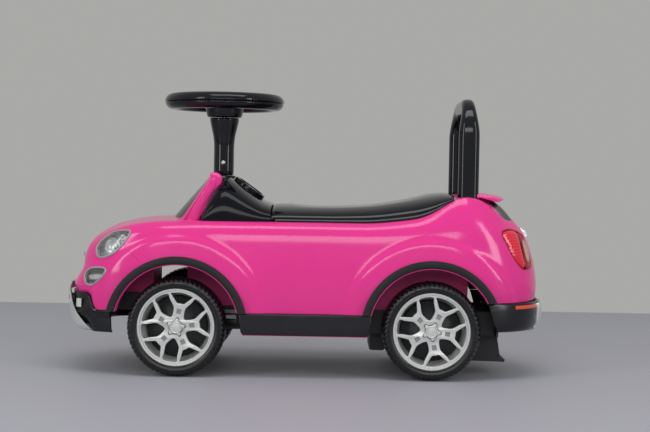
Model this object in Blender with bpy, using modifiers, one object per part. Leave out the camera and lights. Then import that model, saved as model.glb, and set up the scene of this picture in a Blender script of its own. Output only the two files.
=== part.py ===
# Foot-to-floor ride-on car, built from named sub-parts. Metres, +Z up.
# The nose points to -X, the car's left side is -Y, and the ground is Z = 0.
import math

import bmesh
import bpy
from mathutils import Matrix, Vector

GAP = 0.0003            # clearance between pieces that touch
SHARP = math.radians(32)
PIN_SIDES = 12          # facets round a small pin or bore
WHEEL_SIDES = 24        # facets round a rim or the steering wheel

# wheels and axles
TYRE_R = 0.0713
TYRE_WIDTH = 0.049
TYRE_FACE = 0.1370      # outer face of a wheel, from the centre plane
GROOVE = 0.0016         # depth of the tread grooves
LUGS = 20
RIM_R = 0.0555          # seat of the tyre on the rim
AXLE_R = 0.0040
AXLE_Z = TYRE_R
FRONT_X = -0.1820
REAR_X = 0.1840
KINGPIN_Y = 0.0720

# steering
COLUMN_X = -0.1265
CRANK = 0.0220          # crank of the steering rod
ARM = 0.0350            # arm of a steering knuckle
TIE_X = FRONT_X + ARM
PIN_R = 0.0030
WHEEL_Z = 0.3990        # parting line of the steering wheel
WHEEL_RADIUS = 0.0905

# body
WALL = 0.0030
ARCH_R = 0.0893         # opening of a wheel arch
TRIM_IN = 0.0907
TRIM_OUT = 0.1018
CREASE_R = 0.1280       # outer line of the fender flare
FLARE = 0.0040
SILL_Z = 0.0933         # lower edge of the body between the wheels
TAIL_Z = 0.1132         # lower edge of the body over the rear bumper
AXLE_END = 0.1328
FLANGE_Y = 0.1392
NOSE_REACH = 0.0145     # how far the chrome plates stand out from the plan line
TAIL_REACH = 0.0095
PAN_Z0 = 0.0620
PAN_FLOOR = 0.0655
PAN_TOP = 0.0965

# seat
HINGE_X = -0.0430
HINGE_Z = 0.2415
HINGE_PIN_R = 0.00125
LID_FRONT = -0.0500

PLAN = [
    (-344.5, 0, -240), (-343.5, 32, -238), (-339.5, 62, -235), (-331, 86, -231),
    (-316, 104, -226), (-297, 115.5, -219), (-274, 124.5, -210), (-250, 130, -200),
    (-225, 133, -189), (-200, 134.5, -176), (-175, 135, -162), (-150, 135, -146),
    (-125, 134.5, -124), (-100, 134, -100), (-75, 133.5, -75), (-50, 133, -50),
    (0, 132.5, 0), (50, 132.5, 50), (75, 133, 75), (100, 133.5, 100),
    (125, 134, 125), (150, 134.5, 150), (175, 135, 174), (200, 135, 197),
    (225, 134, 216), (250, 131.5, 230), (272, 126.5, 240), (293, 118.5, 247),
    (312, 106.5, 252), (328, 89, 257), (339.5, 65, 260), (346.5, 36, 262),
    (349.5, 0, 263)]

# side profiles: station number, then (inset, height) from the sill to the top edge, in mm
PROFILES = [
    (0, [(2.5, 0), (0.5, 128.6), (9, 141.6), (16, 151.2), (18.1, 167.8), (23.9, 182.2), (33.3, 191.9)]),
    (2, [(2.5, 0), (0.5, 128), (8, 141), (14, 151), (16.5, 168), (23, 183), (33, 194)]),
    (4, [(3, 0), (0.5, 125), (4, 143), (8, 156), (12, 172), (19, 188), (31, 200)]),
    (6, [(3.5, 0), (1, 122), (0.5, 148), (2.5, 172), (6.5, 192), (13, 206), (25, 214)]),
    (8, [(4, 0), (1, 122), (0, 150), (2, 180), (5, 200), (10.5, 213), (22, 221)]),
    (10, [(4, 0), (1, 122), (0, 150), (2.2, 183), (5, 205), (10.5, 216.5), (21, 223.5)]),
    (12, [(4, 0), (1, 122), (0, 150), (2.2, 185), (5, 207), (10.5, 217.5), (20, 223.5)]),
    (19, [(4, 0), (1, 122), (0, 150), (2.2, 185), (5, 207), (10.5, 218), (20, 224)]),
    (21, [(4, 0), (1, 122), (0, 150), (2.2, 186), (5, 209), (10.5, 221.5), (20, 229.5)]),
    (22, [(4, 0), (1, 122), (0, 150), (2.2, 187), (5, 211), (11, 225), (21, 234)]),
    (23, [(4, 0), (1, 122), (0, 150), (2.2, 188), (5, 213.5), (12.5, 234), (23, 250)]),
    (24, [(4, 0), (1, 125), (0, 150), (2.5, 189), (5.5, 216), (14.5, 242), (28, 264)]),
    (25, [(4, 0), (1, 127), (0, 152), (3, 189), (7, 216), (17, 241), (31, 263)]),
    (26, [(4, 0), (1, 128), (0.5, 152), (4, 188), (9, 214), (20, 236), (34, 255)]),
    (28, [(3.5, 0), (1, 127), (1.5, 152), (6.5, 184), (16, 210), (28, 223), (37, 231)]),
    (30, [(3, 0), (0.5, 126), (2, 151), (8.5, 181), (20, 209), (30, 221), (38, 229)]),
    (32, [(3, 0), (0.5, 126), (2, 150), (8.6, 179), (24.5, 215), (34, 224), (39.5, 229)])]

SILL = [(0, 116.5), (3.5, 116.5), (4.4, 107.5), (5, 93.3), (25.4, 93.3), (25.5, 113.2), (32, 113.2)]

CREST = [
    (-320, 186), (-311, 192), (-298, 203.9), (-282, 213.7), (-265, 219.5), (-253, 223),
    (-228.5, 226.5), (-198, 227.5), (-185, 226.5), (-172, 224), (-160, 223.5), (100, 223.5),
    (125, 226), (150, 230), (172, 236), (185, 242), (195, 250), (207, 262), (215, 266.3),
    (222, 267.6), (250, 267.6), (266, 265.5), (280, 260.5), (288, 255.5), (300, 243), (310.5, 229),
    (315, 225)]

STATIONS = [0, 1, 2, 3, 4, 5, 6, 7, 8, 9, 10, 11, 12, 13, 14, 15, 17, 18, 19, 20, 21, 22,
            23, 23.5, 24, 25, 25.4, 25.5, 26, 27, 28, 29, 30, 31, 32]
SIDE_ROWS = 7
TOP_ROWS = 4


def reset_scene():
    for item in list(bpy.data.objects):
        bpy.data.objects.remove(item, do_unlink=True)


def collection(name):
    made = bpy.data.collections.new(name)
    bpy.context.scene.collection.children.link(made)
    return made


def place(obj, owner):
    for old in list(obj.users_collection):
        old.objects.unlink(obj)
    owner.objects.link(obj)
    return obj


def paint(obj, look):
    """Give a piece its own material and smooth shading, with sharp edges where it really bends."""
    made = bpy.data.materials.new(obj.name)
    made.use_nodes = True
    shader = made.node_tree.nodes["Principled BSDF"]
    colour, roughness, metallic = look
    shader.inputs["Base Color"].default_value = (*colour, 1.0)
    shader.inputs["Roughness"].default_value = roughness
    shader.inputs["Metallic"].default_value = metallic
    made.diffuse_color = (*colour, 1.0)
    obj.data.materials.clear()
    obj.data.materials.append(made)
    shape = bmesh.new()
    shape.from_mesh(obj.data)
    for face in shape.faces:
        face.smooth = True
    for edge in shape.edges:
        edge.smooth = len(edge.link_faces) == 2 and edge.calc_face_angle(0) < SHARP
    shape.to_mesh(obj.data)
    shape.free()
    return obj


def as_cutter(obj):
    place(obj, CUTTERS)
    obj.hide_render = True
    obj.display_type = "WIRE"
    return obj


def mesh_object(name, verts, faces, owner=None):
    data = bpy.data.meshes.new(name)
    data.from_pydata([Vector(v) for v in verts], [], faces)
    data.update()
    obj = bpy.data.objects.new(name, data)
    (owner or PARTS).objects.link(obj)
    return obj


def box(name, x0, x1, y0, y1, z0, z1, owner=None):
    build = bmesh.new()
    bmesh.ops.create_cube(build, size=1.0)
    centre = Vector(((x0 + x1) / 2, (y0 + y1) / 2, (z0 + z1) / 2))
    size = Vector((x1 - x0, y1 - y0, z1 - z0))
    for vert in build.verts:
        vert.co = Vector([a * b for a, b in zip(vert.co, size)]) + centre
    data = bpy.data.meshes.new(name)
    build.to_mesh(data)
    build.free()
    obj = bpy.data.objects.new(name, data)
    (owner or PARTS).objects.link(obj)
    return obj


AXES = {"x": Matrix.Rotation(math.pi / 2, 3, "Y"), "y": Matrix.Rotation(-math.pi / 2, 3, "X"),
        "z": Matrix.Identity(3)}


def rod(name, start, axis, radius, length, sides=24, owner=None, radius_end=None):
    """A round bar from start along +axis."""
    build = bmesh.new()
    bmesh.ops.create_cone(build, cap_ends=True, segments=sides, radius1=radius,
                          radius2=radius if radius_end is None else radius_end, depth=length)
    turn = AXES[axis]
    for vert in build.verts:
        vert.co = turn @ (vert.co + Vector((0, 0, length / 2))) + Vector(start)
    bmesh.ops.recalc_face_normals(build, faces=build.faces)
    data = bpy.data.meshes.new(name)
    build.to_mesh(data)
    build.free()
    obj = bpy.data.objects.new(name, data)
    (owner or PARTS).objects.link(obj)
    return obj


def turned(name, profile, axis, centre, sides=32, owner=None, facing=1):
    """Profile of (radius, height) turned about an axis through centre."""
    data = bpy.data.meshes.new(name)
    points = [(r, 0, h * facing) for r, h in profile]
    count = len(points)
    edges = [(i, (i + 1) % count) for i in range(count)]
    edges = [(a, b) for a, b in edges if points[a][0] > 0 or points[b][0] > 0]
    data.from_pydata(points, edges, [])
    obj = bpy.data.objects.new(name, data)
    (owner or PARTS).objects.link(obj)
    screw = obj.modifiers.new("Turn", "SCREW")
    screw.axis = "Z"
    screw.steps = sides
    screw.render_steps = sides
    screw.use_merge_vertices = True
    screw.merge_threshold = 0.00001
    screw.use_normal_calculate = True
    bake(obj)
    turn = AXES[axis]
    for vert in obj.data.vertices:
        vert.co = turn @ vert.co + Vector(centre)
    tidy_mesh(obj)
    return obj


def outline(name, points, depth, centre, axis, owner=None, holes=()):
    """Flat outline, extruded by depth on each side of centre; axis is its normal."""
    data = bpy.data.curves.new(name, "CURVE")
    data.dimensions = "2D"
    data.fill_mode = "BOTH"
    data.extrude = depth / 2
    for ring in [points, *holes]:
        spline = data.splines.new("POLY")
        spline.points.add(len(ring) - 1)
        for point, (u, v) in zip(spline.points, ring):
            point.co = (u, v, 0, 1)
        spline.use_cyclic_u = True
    curve = bpy.data.objects.new(name + "_curve", data)
    PARTS.objects.link(curve)
    flat = bpy.data.meshes.new_from_object(curve.evaluated_get(bpy.context.evaluated_depsgraph_get()))
    bpy.data.objects.remove(curve, do_unlink=True)
    bpy.data.curves.remove(data)
    obj = bpy.data.objects.new(name, flat)
    (owner or PARTS).objects.link(obj)
    frames = {"z": Matrix.Identity(3),
              "y": Matrix(((1, 0, 0), (0, 0, -1), (0, 1, 0))),
              "x": Matrix(((0, 0, 1), (1, 0, 0), (0, 1, 0)))}
    turn = frames[axis]
    for vert in flat.vertices:
        vert.co = turn @ vert.co + Vector(centre)
    tidy_mesh(obj)
    return obj


def tidy_mesh(obj):
    build = bmesh.new()
    build.from_mesh(obj.data)
    bmesh.ops.remove_doubles(build, verts=build.verts, dist=0.000005)
    bmesh.ops.dissolve_degenerate(build, dist=0.000005, edges=build.edges)
    bmesh.ops.triangulate(build, faces=[face for face in build.faces if len(face.verts) > 3])
    bmesh.ops.recalc_face_normals(build, faces=build.faces)
    build.to_mesh(obj.data)
    build.free()


def bake(obj):
    """Turn an object's modifiers into its mesh."""
    bpy.context.view_layer.update()
    made = bpy.data.meshes.new_from_object(obj.evaluated_get(bpy.context.evaluated_depsgraph_get()))
    old = obj.data
    obj.modifiers.clear()
    obj.data = made
    made.name = old.name
    return obj


def solidify(obj, outside, inside):
    mod = obj.modifiers.new("Wall", "SOLIDIFY")
    mod.thickness = outside + inside
    mod.offset = (outside - inside) / (outside + inside)
    mod.use_even_offset = True
    mod.use_quality_normals = True
    return obj


def mirror(obj):
    mod = obj.modifiers.new("Mirror", "MIRROR")
    mod.use_axis = (False, True, False)
    mod.merge_threshold = 0.00002
    mod.use_clip = True
    return obj


def bevel(obj, width, segments=1, angle=35):
    mod = obj.modifiers.new("Rounding", "BEVEL")
    mod.width = width
    mod.segments = segments
    mod.limit_method = "ANGLE"
    mod.angle_limit = math.radians(angle)
    return obj


def cut(obj, tool, operation="DIFFERENCE"):
    mod = obj.modifiers.new(operation.title() + "_" + tool.name, "BOOLEAN")
    mod.operation = operation
    mod.solver = "EXACT"
    mod.object = tool
    as_cutter(tool)
    return obj


def flatten(obj):
    """Drop the edges that the cuts left inside flat faces."""
    build = bmesh.new()
    build.from_mesh(obj.data)
    bmesh.ops.dissolve_limit(build, angle_limit=math.radians(1.2), verts=build.verts, edges=build.edges)
    build.to_mesh(obj.data)
    build.free()
    return obj


def carve(obj, tool, operation="DIFFERENCE"):
    """A cut that is settled at once, so the next one meets a clean mesh."""
    cut(obj, tool, operation)
    bake(obj)
    tidy_mesh(obj)
    return obj


def join(obj, *tools):
    for tool in tools:
        cut(obj, tool, "UNION")
    return obj


def ring(radius, sides, u=0.0, v=0.0, start=0.0):
    return [(u + radius * math.cos(start + 2 * math.pi * i / sides),
             v + radius * math.sin(start + 2 * math.pi * i / sides)) for i in range(sides)]


def slot_ring(length, radius, u, v, sides=6):
    """Outline of a slot along the first axis."""
    points = []
    for end, begin in ((1, -math.pi / 2), (-1, math.pi / 2)):
        for i in range(sides + 1):
            angle = begin + math.pi * i / sides
            points.append((u + end * length / 2 + radius * math.cos(angle), v + radius * math.sin(angle)))
    return points


def table(rows, x):
    """Straight-line look-up in a table of (x, value)."""
    if x <= rows[0][0]:
        return rows[0][1]
    for (x0, v0), (x1, v1) in zip(rows, rows[1:]):
        if x <= x1:
            return v0 + (v1 - v0) * (x - x0) / (x1 - x0)
    return rows[-1][1]


def smooth(low, high, value):
    t = min(1.0, max(0.0, (value - low) / (high - low)))
    return t * t * (3 - 2 * t)


def plan_point(s):
    """Outer line of the body in plan, and the spine point that its section runs to."""
    count = len(PLAN)
    i = min(int(s), count - 2)
    t = s - i

    def fetch(k):
        if k < 0:
            x, y, c = PLAN[-k]
            return (x, -y, c)
        if k >= count:
            x, y, c = PLAN[2 * count - 2 - k]
            return (x, -y, c)
        return PLAN[k]

    p0, p1, p2, p3 = [fetch(i + k) for k in (-1, 0, 1, 2)]
    out = []
    for a, b, c, d in zip(p0, p1, p2, p3):
        out.append(0.5 * (2 * b + (c - a) * t + (2 * a - 5 * b + 4 * c - d) * t * t
                          + (3 * b - a - 3 * c + d) * t ** 3) / 1000)
    return out


def side_profile(s):
    for (s0, low), (s1, high) in zip(PROFILES, PROFILES[1:]):
        if s <= s1:
            t = (s - s0) / (s1 - s0)
            mixed = [(a[0] + (b[0] - a[0]) * t, a[1] + (b[1] - a[1]) * t) for a, b in zip(low, high)]
            break
    mixed[0] = (mixed[0][0], table(SILL, s))
    return [(e / 1000, z / 1000) for e, z in mixed]


def flare(x, z):
    """How far the fender stands out of the side at this place."""
    best = 0.0
    for centre in (FRONT_X, REAR_X):
        r = math.hypot(x - centre, z - AXLE_Z)
        best = max(best, 1 - smooth(CREASE_R - 0.003, CREASE_R + 0.009, r))
    return FLARE * best


def body_section(s):
    """Points of the body's outer skin at a station, from the sill to the spine."""
    x, y, spine = plan_point(s)
    length = math.hypot(spine - x, y)
    ux, uy = (spine - x) / length, -y / length
    points = []
    profile = side_profile(s)
    for e, z in profile:
        e -= flare(x + ux * e, z) * abs(uy)
        points.append((x + ux * e, max(0.0, y + uy * e), z))
    edge, edge_z = profile[-1]
    drop = table(CREST, (x + ux * edge) * 1000) / 1000 - edge_z
    for row in range(1, TOP_ROWS + 1):
        q = row / TOP_ROWS
        e = edge + (length - edge) * q
        px = x + ux * e
        z = table(CREST, px * 1000) / 1000 - drop * (1 - q) ** 2
        points.append((px, max(0.0, y + uy * e) if row < TOP_ROWS else 0.0, z))
    return points


def skin(name, outside, inside, stations=STATIONS, side=None, owner=None):
    """The body's outer skin as a wall; side picks one half (-1 is left) or both."""
    sections = [body_section(s) for s in stations]
    rows = SIDE_ROWS + TOP_ROWS
    sign = side or -1
    verts = [(x, sign * y, z) for section in sections for x, y, z in section]
    faces = []
    for i in range(len(sections) - 1):
        for j in range(rows - 1):
            a, b = i * rows + j, (i + 1) * rows + j
            pair = ((a, b, b + 1), (a, b + 1, a + 1))
            if stations[i] < 16:
                pair = ((a, b, a + 1), (b, b + 1, a + 1))
            for face in pair:
                faces.append(face if sign < 0 else face[::-1])
    obj = mesh_object(name, verts, faces, owner)
    build = bmesh.new()
    build.from_mesh(obj.data)
    bmesh.ops.remove_doubles(build, verts=build.verts, dist=0.00001)
    build.to_mesh(obj.data)
    build.free()
    if side is None:
        mirror(obj)
    return solidify(obj, outside, inside)


def band(name, stations, profile, thickness, owner=None, both=True, sign=-1):
    """A strip round the body: profile(s) gives (outset, height) points."""
    sections = []
    for s in stations:
        x, y, spine = plan_point(s)
        length = math.hypot(spine - x, y)
        ux, uy = (spine - x) / length, -y / length
        sections.append([(x - ux * o, max(0.0, y - uy * o), z) for o, z in profile(s)])
    rows = len(sections[0])
    verts = [(x, sign * y, z) for section in sections for x, y, z in section]
    faces = []
    for i in range(len(sections) - 1):
        for j in range(rows - 1):
            a, b = i * rows + j, (i + 1) * rows + j
            faces += [(a, b, b + 1), (a, b + 1, a + 1)]
    obj = mesh_object(name, verts, faces, owner)
    if both:
        mirror(obj)
    return solidify(obj, 0.0, thickness)


# colours: base colour, roughness, metallic
PINK = ((0.78, 0.035, 0.29), 0.42, 0.0)
BLACK = ((0.012, 0.012, 0.015), 0.22, 0.0)
MATT = ((0.028, 0.028, 0.030), 0.6, 0.0)
GREY = ((0.16, 0.16, 0.17), 0.45, 0.0)
SILVER = ((0.52, 0.52, 0.51), 0.35, 0.6)
CHROME = ((0.75, 0.76, 0.78), 0.08, 1.0)
STEEL = ((0.45, 0.45, 0.46), 0.3, 1.0)
CLEAR = ((0.80, 0.84, 0.88), 0.08, 0.0)
RED = ((0.55, 0.02, 0.02), 0.2, 0.0)
ORANGE = ((0.80, 0.13, 0.03), 0.3, 0.0)
SMOKE = ((0.05, 0.055, 0.06), 0.12, 0.0)

SIDES = (("left", -1), ("right", 1))


def on_side(points, sign):
    return points if sign < 0 else [(x, -y, z) for x, y, z in points]


def make_lamp(name, side, sign, shape, near, far, outside, look, hole_gap=GAP):
    """A lens cut out of the body's skin by an outline seen from the side, and its opening."""
    y0, y1 = sorted((sign * near, sign * far))
    lens = skin(f"{name}_{side}", outside, WALL, side=sign)
    tool = outline(f"{name}_outline_{side}", shape, y1 - y0, (0, (y0 + y1) / 2, 0), "y", CUTTERS)
    cut(lens, tool, "INTERSECT")
    cx = sum(p[0] for p in shape) / len(shape)
    cz = sum(p[1] for p in shape) / len(shape)
    wide = [grow(p, (cx, cz), hole_gap) for p in shape]
    opening = outline(f"{name}_opening_{side}", wide, y1 - y0 + 2 * hole_gap,
                      (0, (y0 + y1) / 2, 0), "y", CUTTERS)
    bake(lens)
    tidy_mesh(lens)
    bpy.data.objects.remove(tool, do_unlink=True)
    paint(lens, look)
    return lens, opening


def grow(point, centre, amount):
    dx, dz = point[0] - centre[0], point[1] - centre[1]
    size = math.hypot(dx, dz)
    k = (size + amount * 1.25) / size
    return (centre[0] + dx * k, centre[1] + dz * k)


HEADLIGHT = [(-0.3010, 0.1835), (-0.3020, 0.1765), (-0.2985, 0.1690), (-0.2900, 0.1675),
             (-0.2757, 0.1730), (-0.2640, 0.1840), (-0.2550, 0.1965), (-0.2503, 0.2065),
             (-0.2545, 0.2095), (-0.2680, 0.2075), (-0.2800, 0.2035), (-0.2920, 0.1950)]
TAIL = [(0.2836, 0.2140), (0.2940, 0.2195), (0.3060, 0.2165), (0.3178, 0.2100), (0.3250, 0.1925),
        (0.3320, 0.1705), (0.3304, 0.1618), (0.3168, 0.1612), (0.3007, 0.1802), (0.2915, 0.1980)]


def make_body():
    body = skin("body_shell", 0.0, WALL)
    bake(body)
    tidy_mesh(body)
    carve(body, make_windshield_parts(), "UNION")
    spoiler = outline("rear_spoiler", [(0.2600, 0.2692), (0.2620, 0.2660), (0.2790, 0.2590), (0.2880, 0.2565),
                                       (0.2945, 0.2605), (0.2945, 0.2632), (0.2850, 0.2672), (0.2640, 0.2700)],
                      0.1840, (0, 0, 0), "y", CUTTERS)
    carve(body, spoiler, "UNION")
    rings = []
    for end, x in (("front", FRONT_X), ("rear", REAR_X)):
        for side, sign in SIDES:
            y0, y1 = sorted((sign * 0.1290, sign * FLANGE_Y))
            flange = outline(f"arch_flange_{end}_{side}", arch_outline(x, ARCH_R - 0.001, TRIM_OUT + 0.0015),
                             y1 - y0, (0, (y0 + y1) / 2, 0), "y", CUTTERS)
            carve(body, flange, "UNION")
        well = rod(f"arch_well_{end}", (x, -0.2, AXLE_Z), "y", ARCH_R, 0.4, 40, CUTTERS)
        rings.append(well)
    for well in rings:
        carve(body, well)
    storage = box("storage_opening", -0.0345, 0.1718, -0.0715, 0.0715, 0.19, 0.30, CUTTERS)
    carve(body, storage)
    carve(body, rod("column_opening", (COLUMN_X, 0, 0.19), "z", AXLE_R + 0.002, 0.1, PIN_SIDES, CUTTERS))
    for side, sign in SIDES:
        y0, y1 = sorted((sign * (LEG_Y - LEG_W / 2 - 0.0004), sign * (LEG_Y + LEG_W / 2 + 0.0004)))
        carve(body, box(f"backrest_socket_{side}", LEG_X0 - 0.0004, LEG_X1 + 0.0004, y0, y1, 0.21, 0.31, CUTTERS))
    lamps = []
    for side, sign in SIDES:
        head, hole = make_lamp("headlight_lens", side, sign, HEADLIGHT, 0.20, 0.0900, 0.0010, CLEAR)
        carve(body, hole)
        low, hole = make_lamp("turn_lamp", side, sign, ring(0.0140, 16, -0.3020, 0.1400), 0.20, 0.0700,
                              0.0010, GREY)
        carve(body, hole)
        tail, hole = make_lamp("tail_lamp", side, sign, TAIL, 0.20, 0.0800, 0.0012, RED)
        carve(body, hole)
        lamps += [head, low, tail]
    glass = skin("rear_window", 0.0004, WALL)
    tool = outline("rear_window_outline", [(0.2905, -0.066), (0.3085, -0.080), (0.3085, 0.080), (0.2905, 0.066)],
                   0.1, (0, 0, 0.25), "z", CUTTERS)
    cut(glass, tool, "INTERSECT")
    bake(glass)
    tidy_mesh(glass)
    bpy.data.objects.remove(tool, do_unlink=True)
    paint(glass, SMOKE)
    carve(body, outline("rear_window_opening",
                      [(0.2905 - GAP, -0.066 - GAP), (0.3085 + GAP, -0.080 - GAP),
                       (0.3085 + GAP, 0.080 + GAP), (0.2905 - GAP, 0.066 + GAP)],
                      0.1, (0, 0, 0.25), "z", CUTTERS))
    flatten(body)
    paint(body, PINK)
    return body


def arch_outline(x, inner, outer):
    """Half ring over a wheel, ended level at the sill or over the rear bumper."""
    points = []
    back = (TAIL_Z + 0.0003 if x > 0 else SILL_Z) - AXLE_Z
    front = SILL_Z - AXLE_Z
    for radius, steps, way in ((outer, 18, 1), (inner, 18, -1)):
        begin = math.asin(back / radius)
        end = math.pi - math.asin(front / radius)
        for i in range(steps + 1):
            t = i / steps if way > 0 else 1 - i / steps
            angle = begin + (end - begin) * t
            points.append((x + radius * math.cos(angle), AXLE_Z + radius * math.sin(angle)))
    return points


def make_arch_trims():
    for end, x in (("front", FRONT_X), ("rear", REAR_X)):
        for side, sign in SIDES:
            y0, y1 = sorted((sign * (FLANGE_Y + GAP), sign * (FLANGE_Y + 0.0043)))
            trim = outline(f"arch_trim_{end}_{side}", arch_outline(x, TRIM_IN, TRIM_OUT),
                           y1 - y0, (0, (y0 + y1) / 2, 0), "y")
            paint(trim, MATT)


def make_skirts():
    for side, sign in SIDES:
        y0, y1 = sorted((sign * 0.1180, sign * 0.1335))
        skirt = box(f"side_skirt_{side}", FRONT_X + 0.0940, REAR_X - 0.0900, y0, y1, PAN_Z0, SILL_Z - 0.0005)
        bevel(skirt, 0.003, 2)
        bake(skirt)
        y2, y3 = sorted((sign * 0.1318, sign * 0.1360))
        flute = outline(f"skirt_flute_{side}", slot_ring(0.118, 0.0065, 0.005, 0.0785, 5),
                        y3 - y2, (0, (y2 + y3) / 2, 0), "y", CUTTERS)
        cut(skirt, flute)
        paint(skirt, MATT)


def front_bumper_profile(s):
    top = table(SILL, s) / 1000 - 0.0005
    return [(0.002, 0.0645), (0.003, 0.0720), (0.0048, (0.072 + top) / 2), (0.0038, top - 0.003), (0.0005, top)]


def rear_bumper_profile(s):
    top = 0.1127
    return [(-0.010, 0.0655), (-0.001, 0.0740), (0.003, 0.0860), (0.0038, 0.1010), (0.0025, top - 0.003),
            (0.0, top)]


def make_bumpers():
    stations = [0, 1, 2, 3, 3.5, 4, 4.4, 5, 5.5, 5.97]
    front = band("front_bumper", stations, front_bumper_profile, 0.0040)
    paint(front, MATT)
    rear = band("rear_bumper", [25.6, 26, 27, 28, 29, 30, 31, 32], rear_bumper_profile, 0.0040)
    paint(rear, MATT)
    for side, sign in SIDES:
        # fog lamps sit in the front bumper, reflectors in the rear one
        fog_shape = [(-0.3310, 0.0955), (-0.3225, 0.0955), (-0.3225, 0.1075), (-0.3310, 0.1075)]
        fit_in_band(front, "fog_lens", side, sign, stations, front_bumper_profile, fog_shape, CLEAR)
        refl_shape = [(0.3050, 0.1035), (0.3280, 0.1035), (0.3280, 0.1085), (0.3050, 0.1085)]
        fit_in_band(rear, "rear_reflector", side, sign, [25.6, 26, 27, 28, 29, 30, 31, 32],
                    rear_bumper_profile, refl_shape, ORANGE)
    skid = band("front_skid_plate", [0, 0.6, 1.2, 1.6], lambda s: [
        (-0.0300, 0.0560), (-0.0120, 0.0565), (0.0032, 0.0592), (0.0068, 0.0708), (0.0078, 0.0900),
        (0.0100, 0.1060), (NOSE_REACH, 0.1190), (NOSE_REACH - 0.0020, 0.1260)], 0.0024)
    keep = skin_clear(skid, "front", stations, front_bumper_profile)
    paint(keep, CHROME)
    skid = band("rear_skid_plate", [30, 30.7, 31.4, 32], lambda s: [
        (0.0040, 0.0740), (TAIL_REACH - 0.0010, 0.0860), (TAIL_REACH, 0.1010), (TAIL_REACH - 0.0016, 0.1100)],
                TAIL_REACH - 0.0035)
    keep = skin_clear(skid, "rear", [25.6, 26, 27, 28, 29, 30, 31, 32], rear_bumper_profile)
    paint(keep, CHROME)


def skin_clear(piece, end, stations, profile):
    """Take the bumper's space, with clearance, out of a piece laid over it."""
    guide = band(f"{end}_bumper_space", stations, lambda s: [(o + GAP, z) for o, z in profile(s)], 0.030,
                 CUTTERS)
    bake(guide)
    tidy_mesh(guide)
    bake(piece)
    tidy_mesh(piece)
    cut(piece, guide)
    return piece


def fit_in_band(bumper, name, side, sign, stations, profile, shape, look):
    y0, y1 = sorted((sign * 0.045, sign * 0.20))
    lens = band(f"{name}_{side}", stations, lambda s: [(o + 0.0008, z) for o, z in profile(s)], 0.0040,
                both=False, sign=-1)
    if sign > 0:
        for vert in lens.data.vertices:
            vert.co.y = -vert.co.y
        lens.data.flip_normals()
    tool = outline(f"{name}_outline_{side}", shape, y1 - y0, (0, (y0 + y1) / 2, 0), "y", CUTTERS)
    cut(lens, tool, "INTERSECT")
    bake(lens)
    tidy_mesh(lens)
    bpy.data.objects.remove(tool, do_unlink=True)
    paint(lens, look)
    cx = sum(p[0] for p in shape) / len(shape)
    cz = sum(p[1] for p in shape) / len(shape)
    wide = [(x + math.copysign(GAP, x - cx), z + math.copysign(GAP, z - cz)) for x, z in shape]
    cut(bumper, outline(f"{name}_opening_{side}", wide, y1 - y0, (0, (y0 + y1) / 2, 0), "y", CUTTERS))


PAN_HALF = [(-0.3200, 0.000), (-0.3200, 0.056), (-0.3080, 0.080), (-0.2950, 0.095), (-0.2785, 0.1045),
            (-0.2785, 0.0555), (-0.1960, 0.0555), (-0.1930, 0.0800), (-0.1710, 0.0800), (-0.1680, 0.0555),
            (-0.0865, 0.0555), (-0.0865, 0.1172), (0.0885, 0.1172), (0.0885, 0.0795), (0.2795, 0.0795),
            (0.2795, 0.1080), (0.2980, 0.0990), (0.3140, 0.0830), (0.3260, 0.0600), (0.3300, 0.030),
            (0.3300, 0.000)]
POCKET_HALF = [(-0.3170, 0.000), (-0.3170, 0.055), (-0.3055, 0.078), (-0.2940, 0.091), (-0.2815, 0.0990),
               (-0.2815, 0.0525), (-0.0835, 0.0525), (-0.0835, 0.1142), (0.0855, 0.1142), (0.0855, 0.0762),
               (0.2825, 0.0762), (0.2825, 0.1035), (0.2962, 0.0965), (0.3115, 0.0812), (0.3230, 0.0590),
               (0.3270, 0.029), (0.3270, 0.000)]


def both_sides(half):
    return half + [(x, -y) for x, y in reversed(half) if y > 0]


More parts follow.
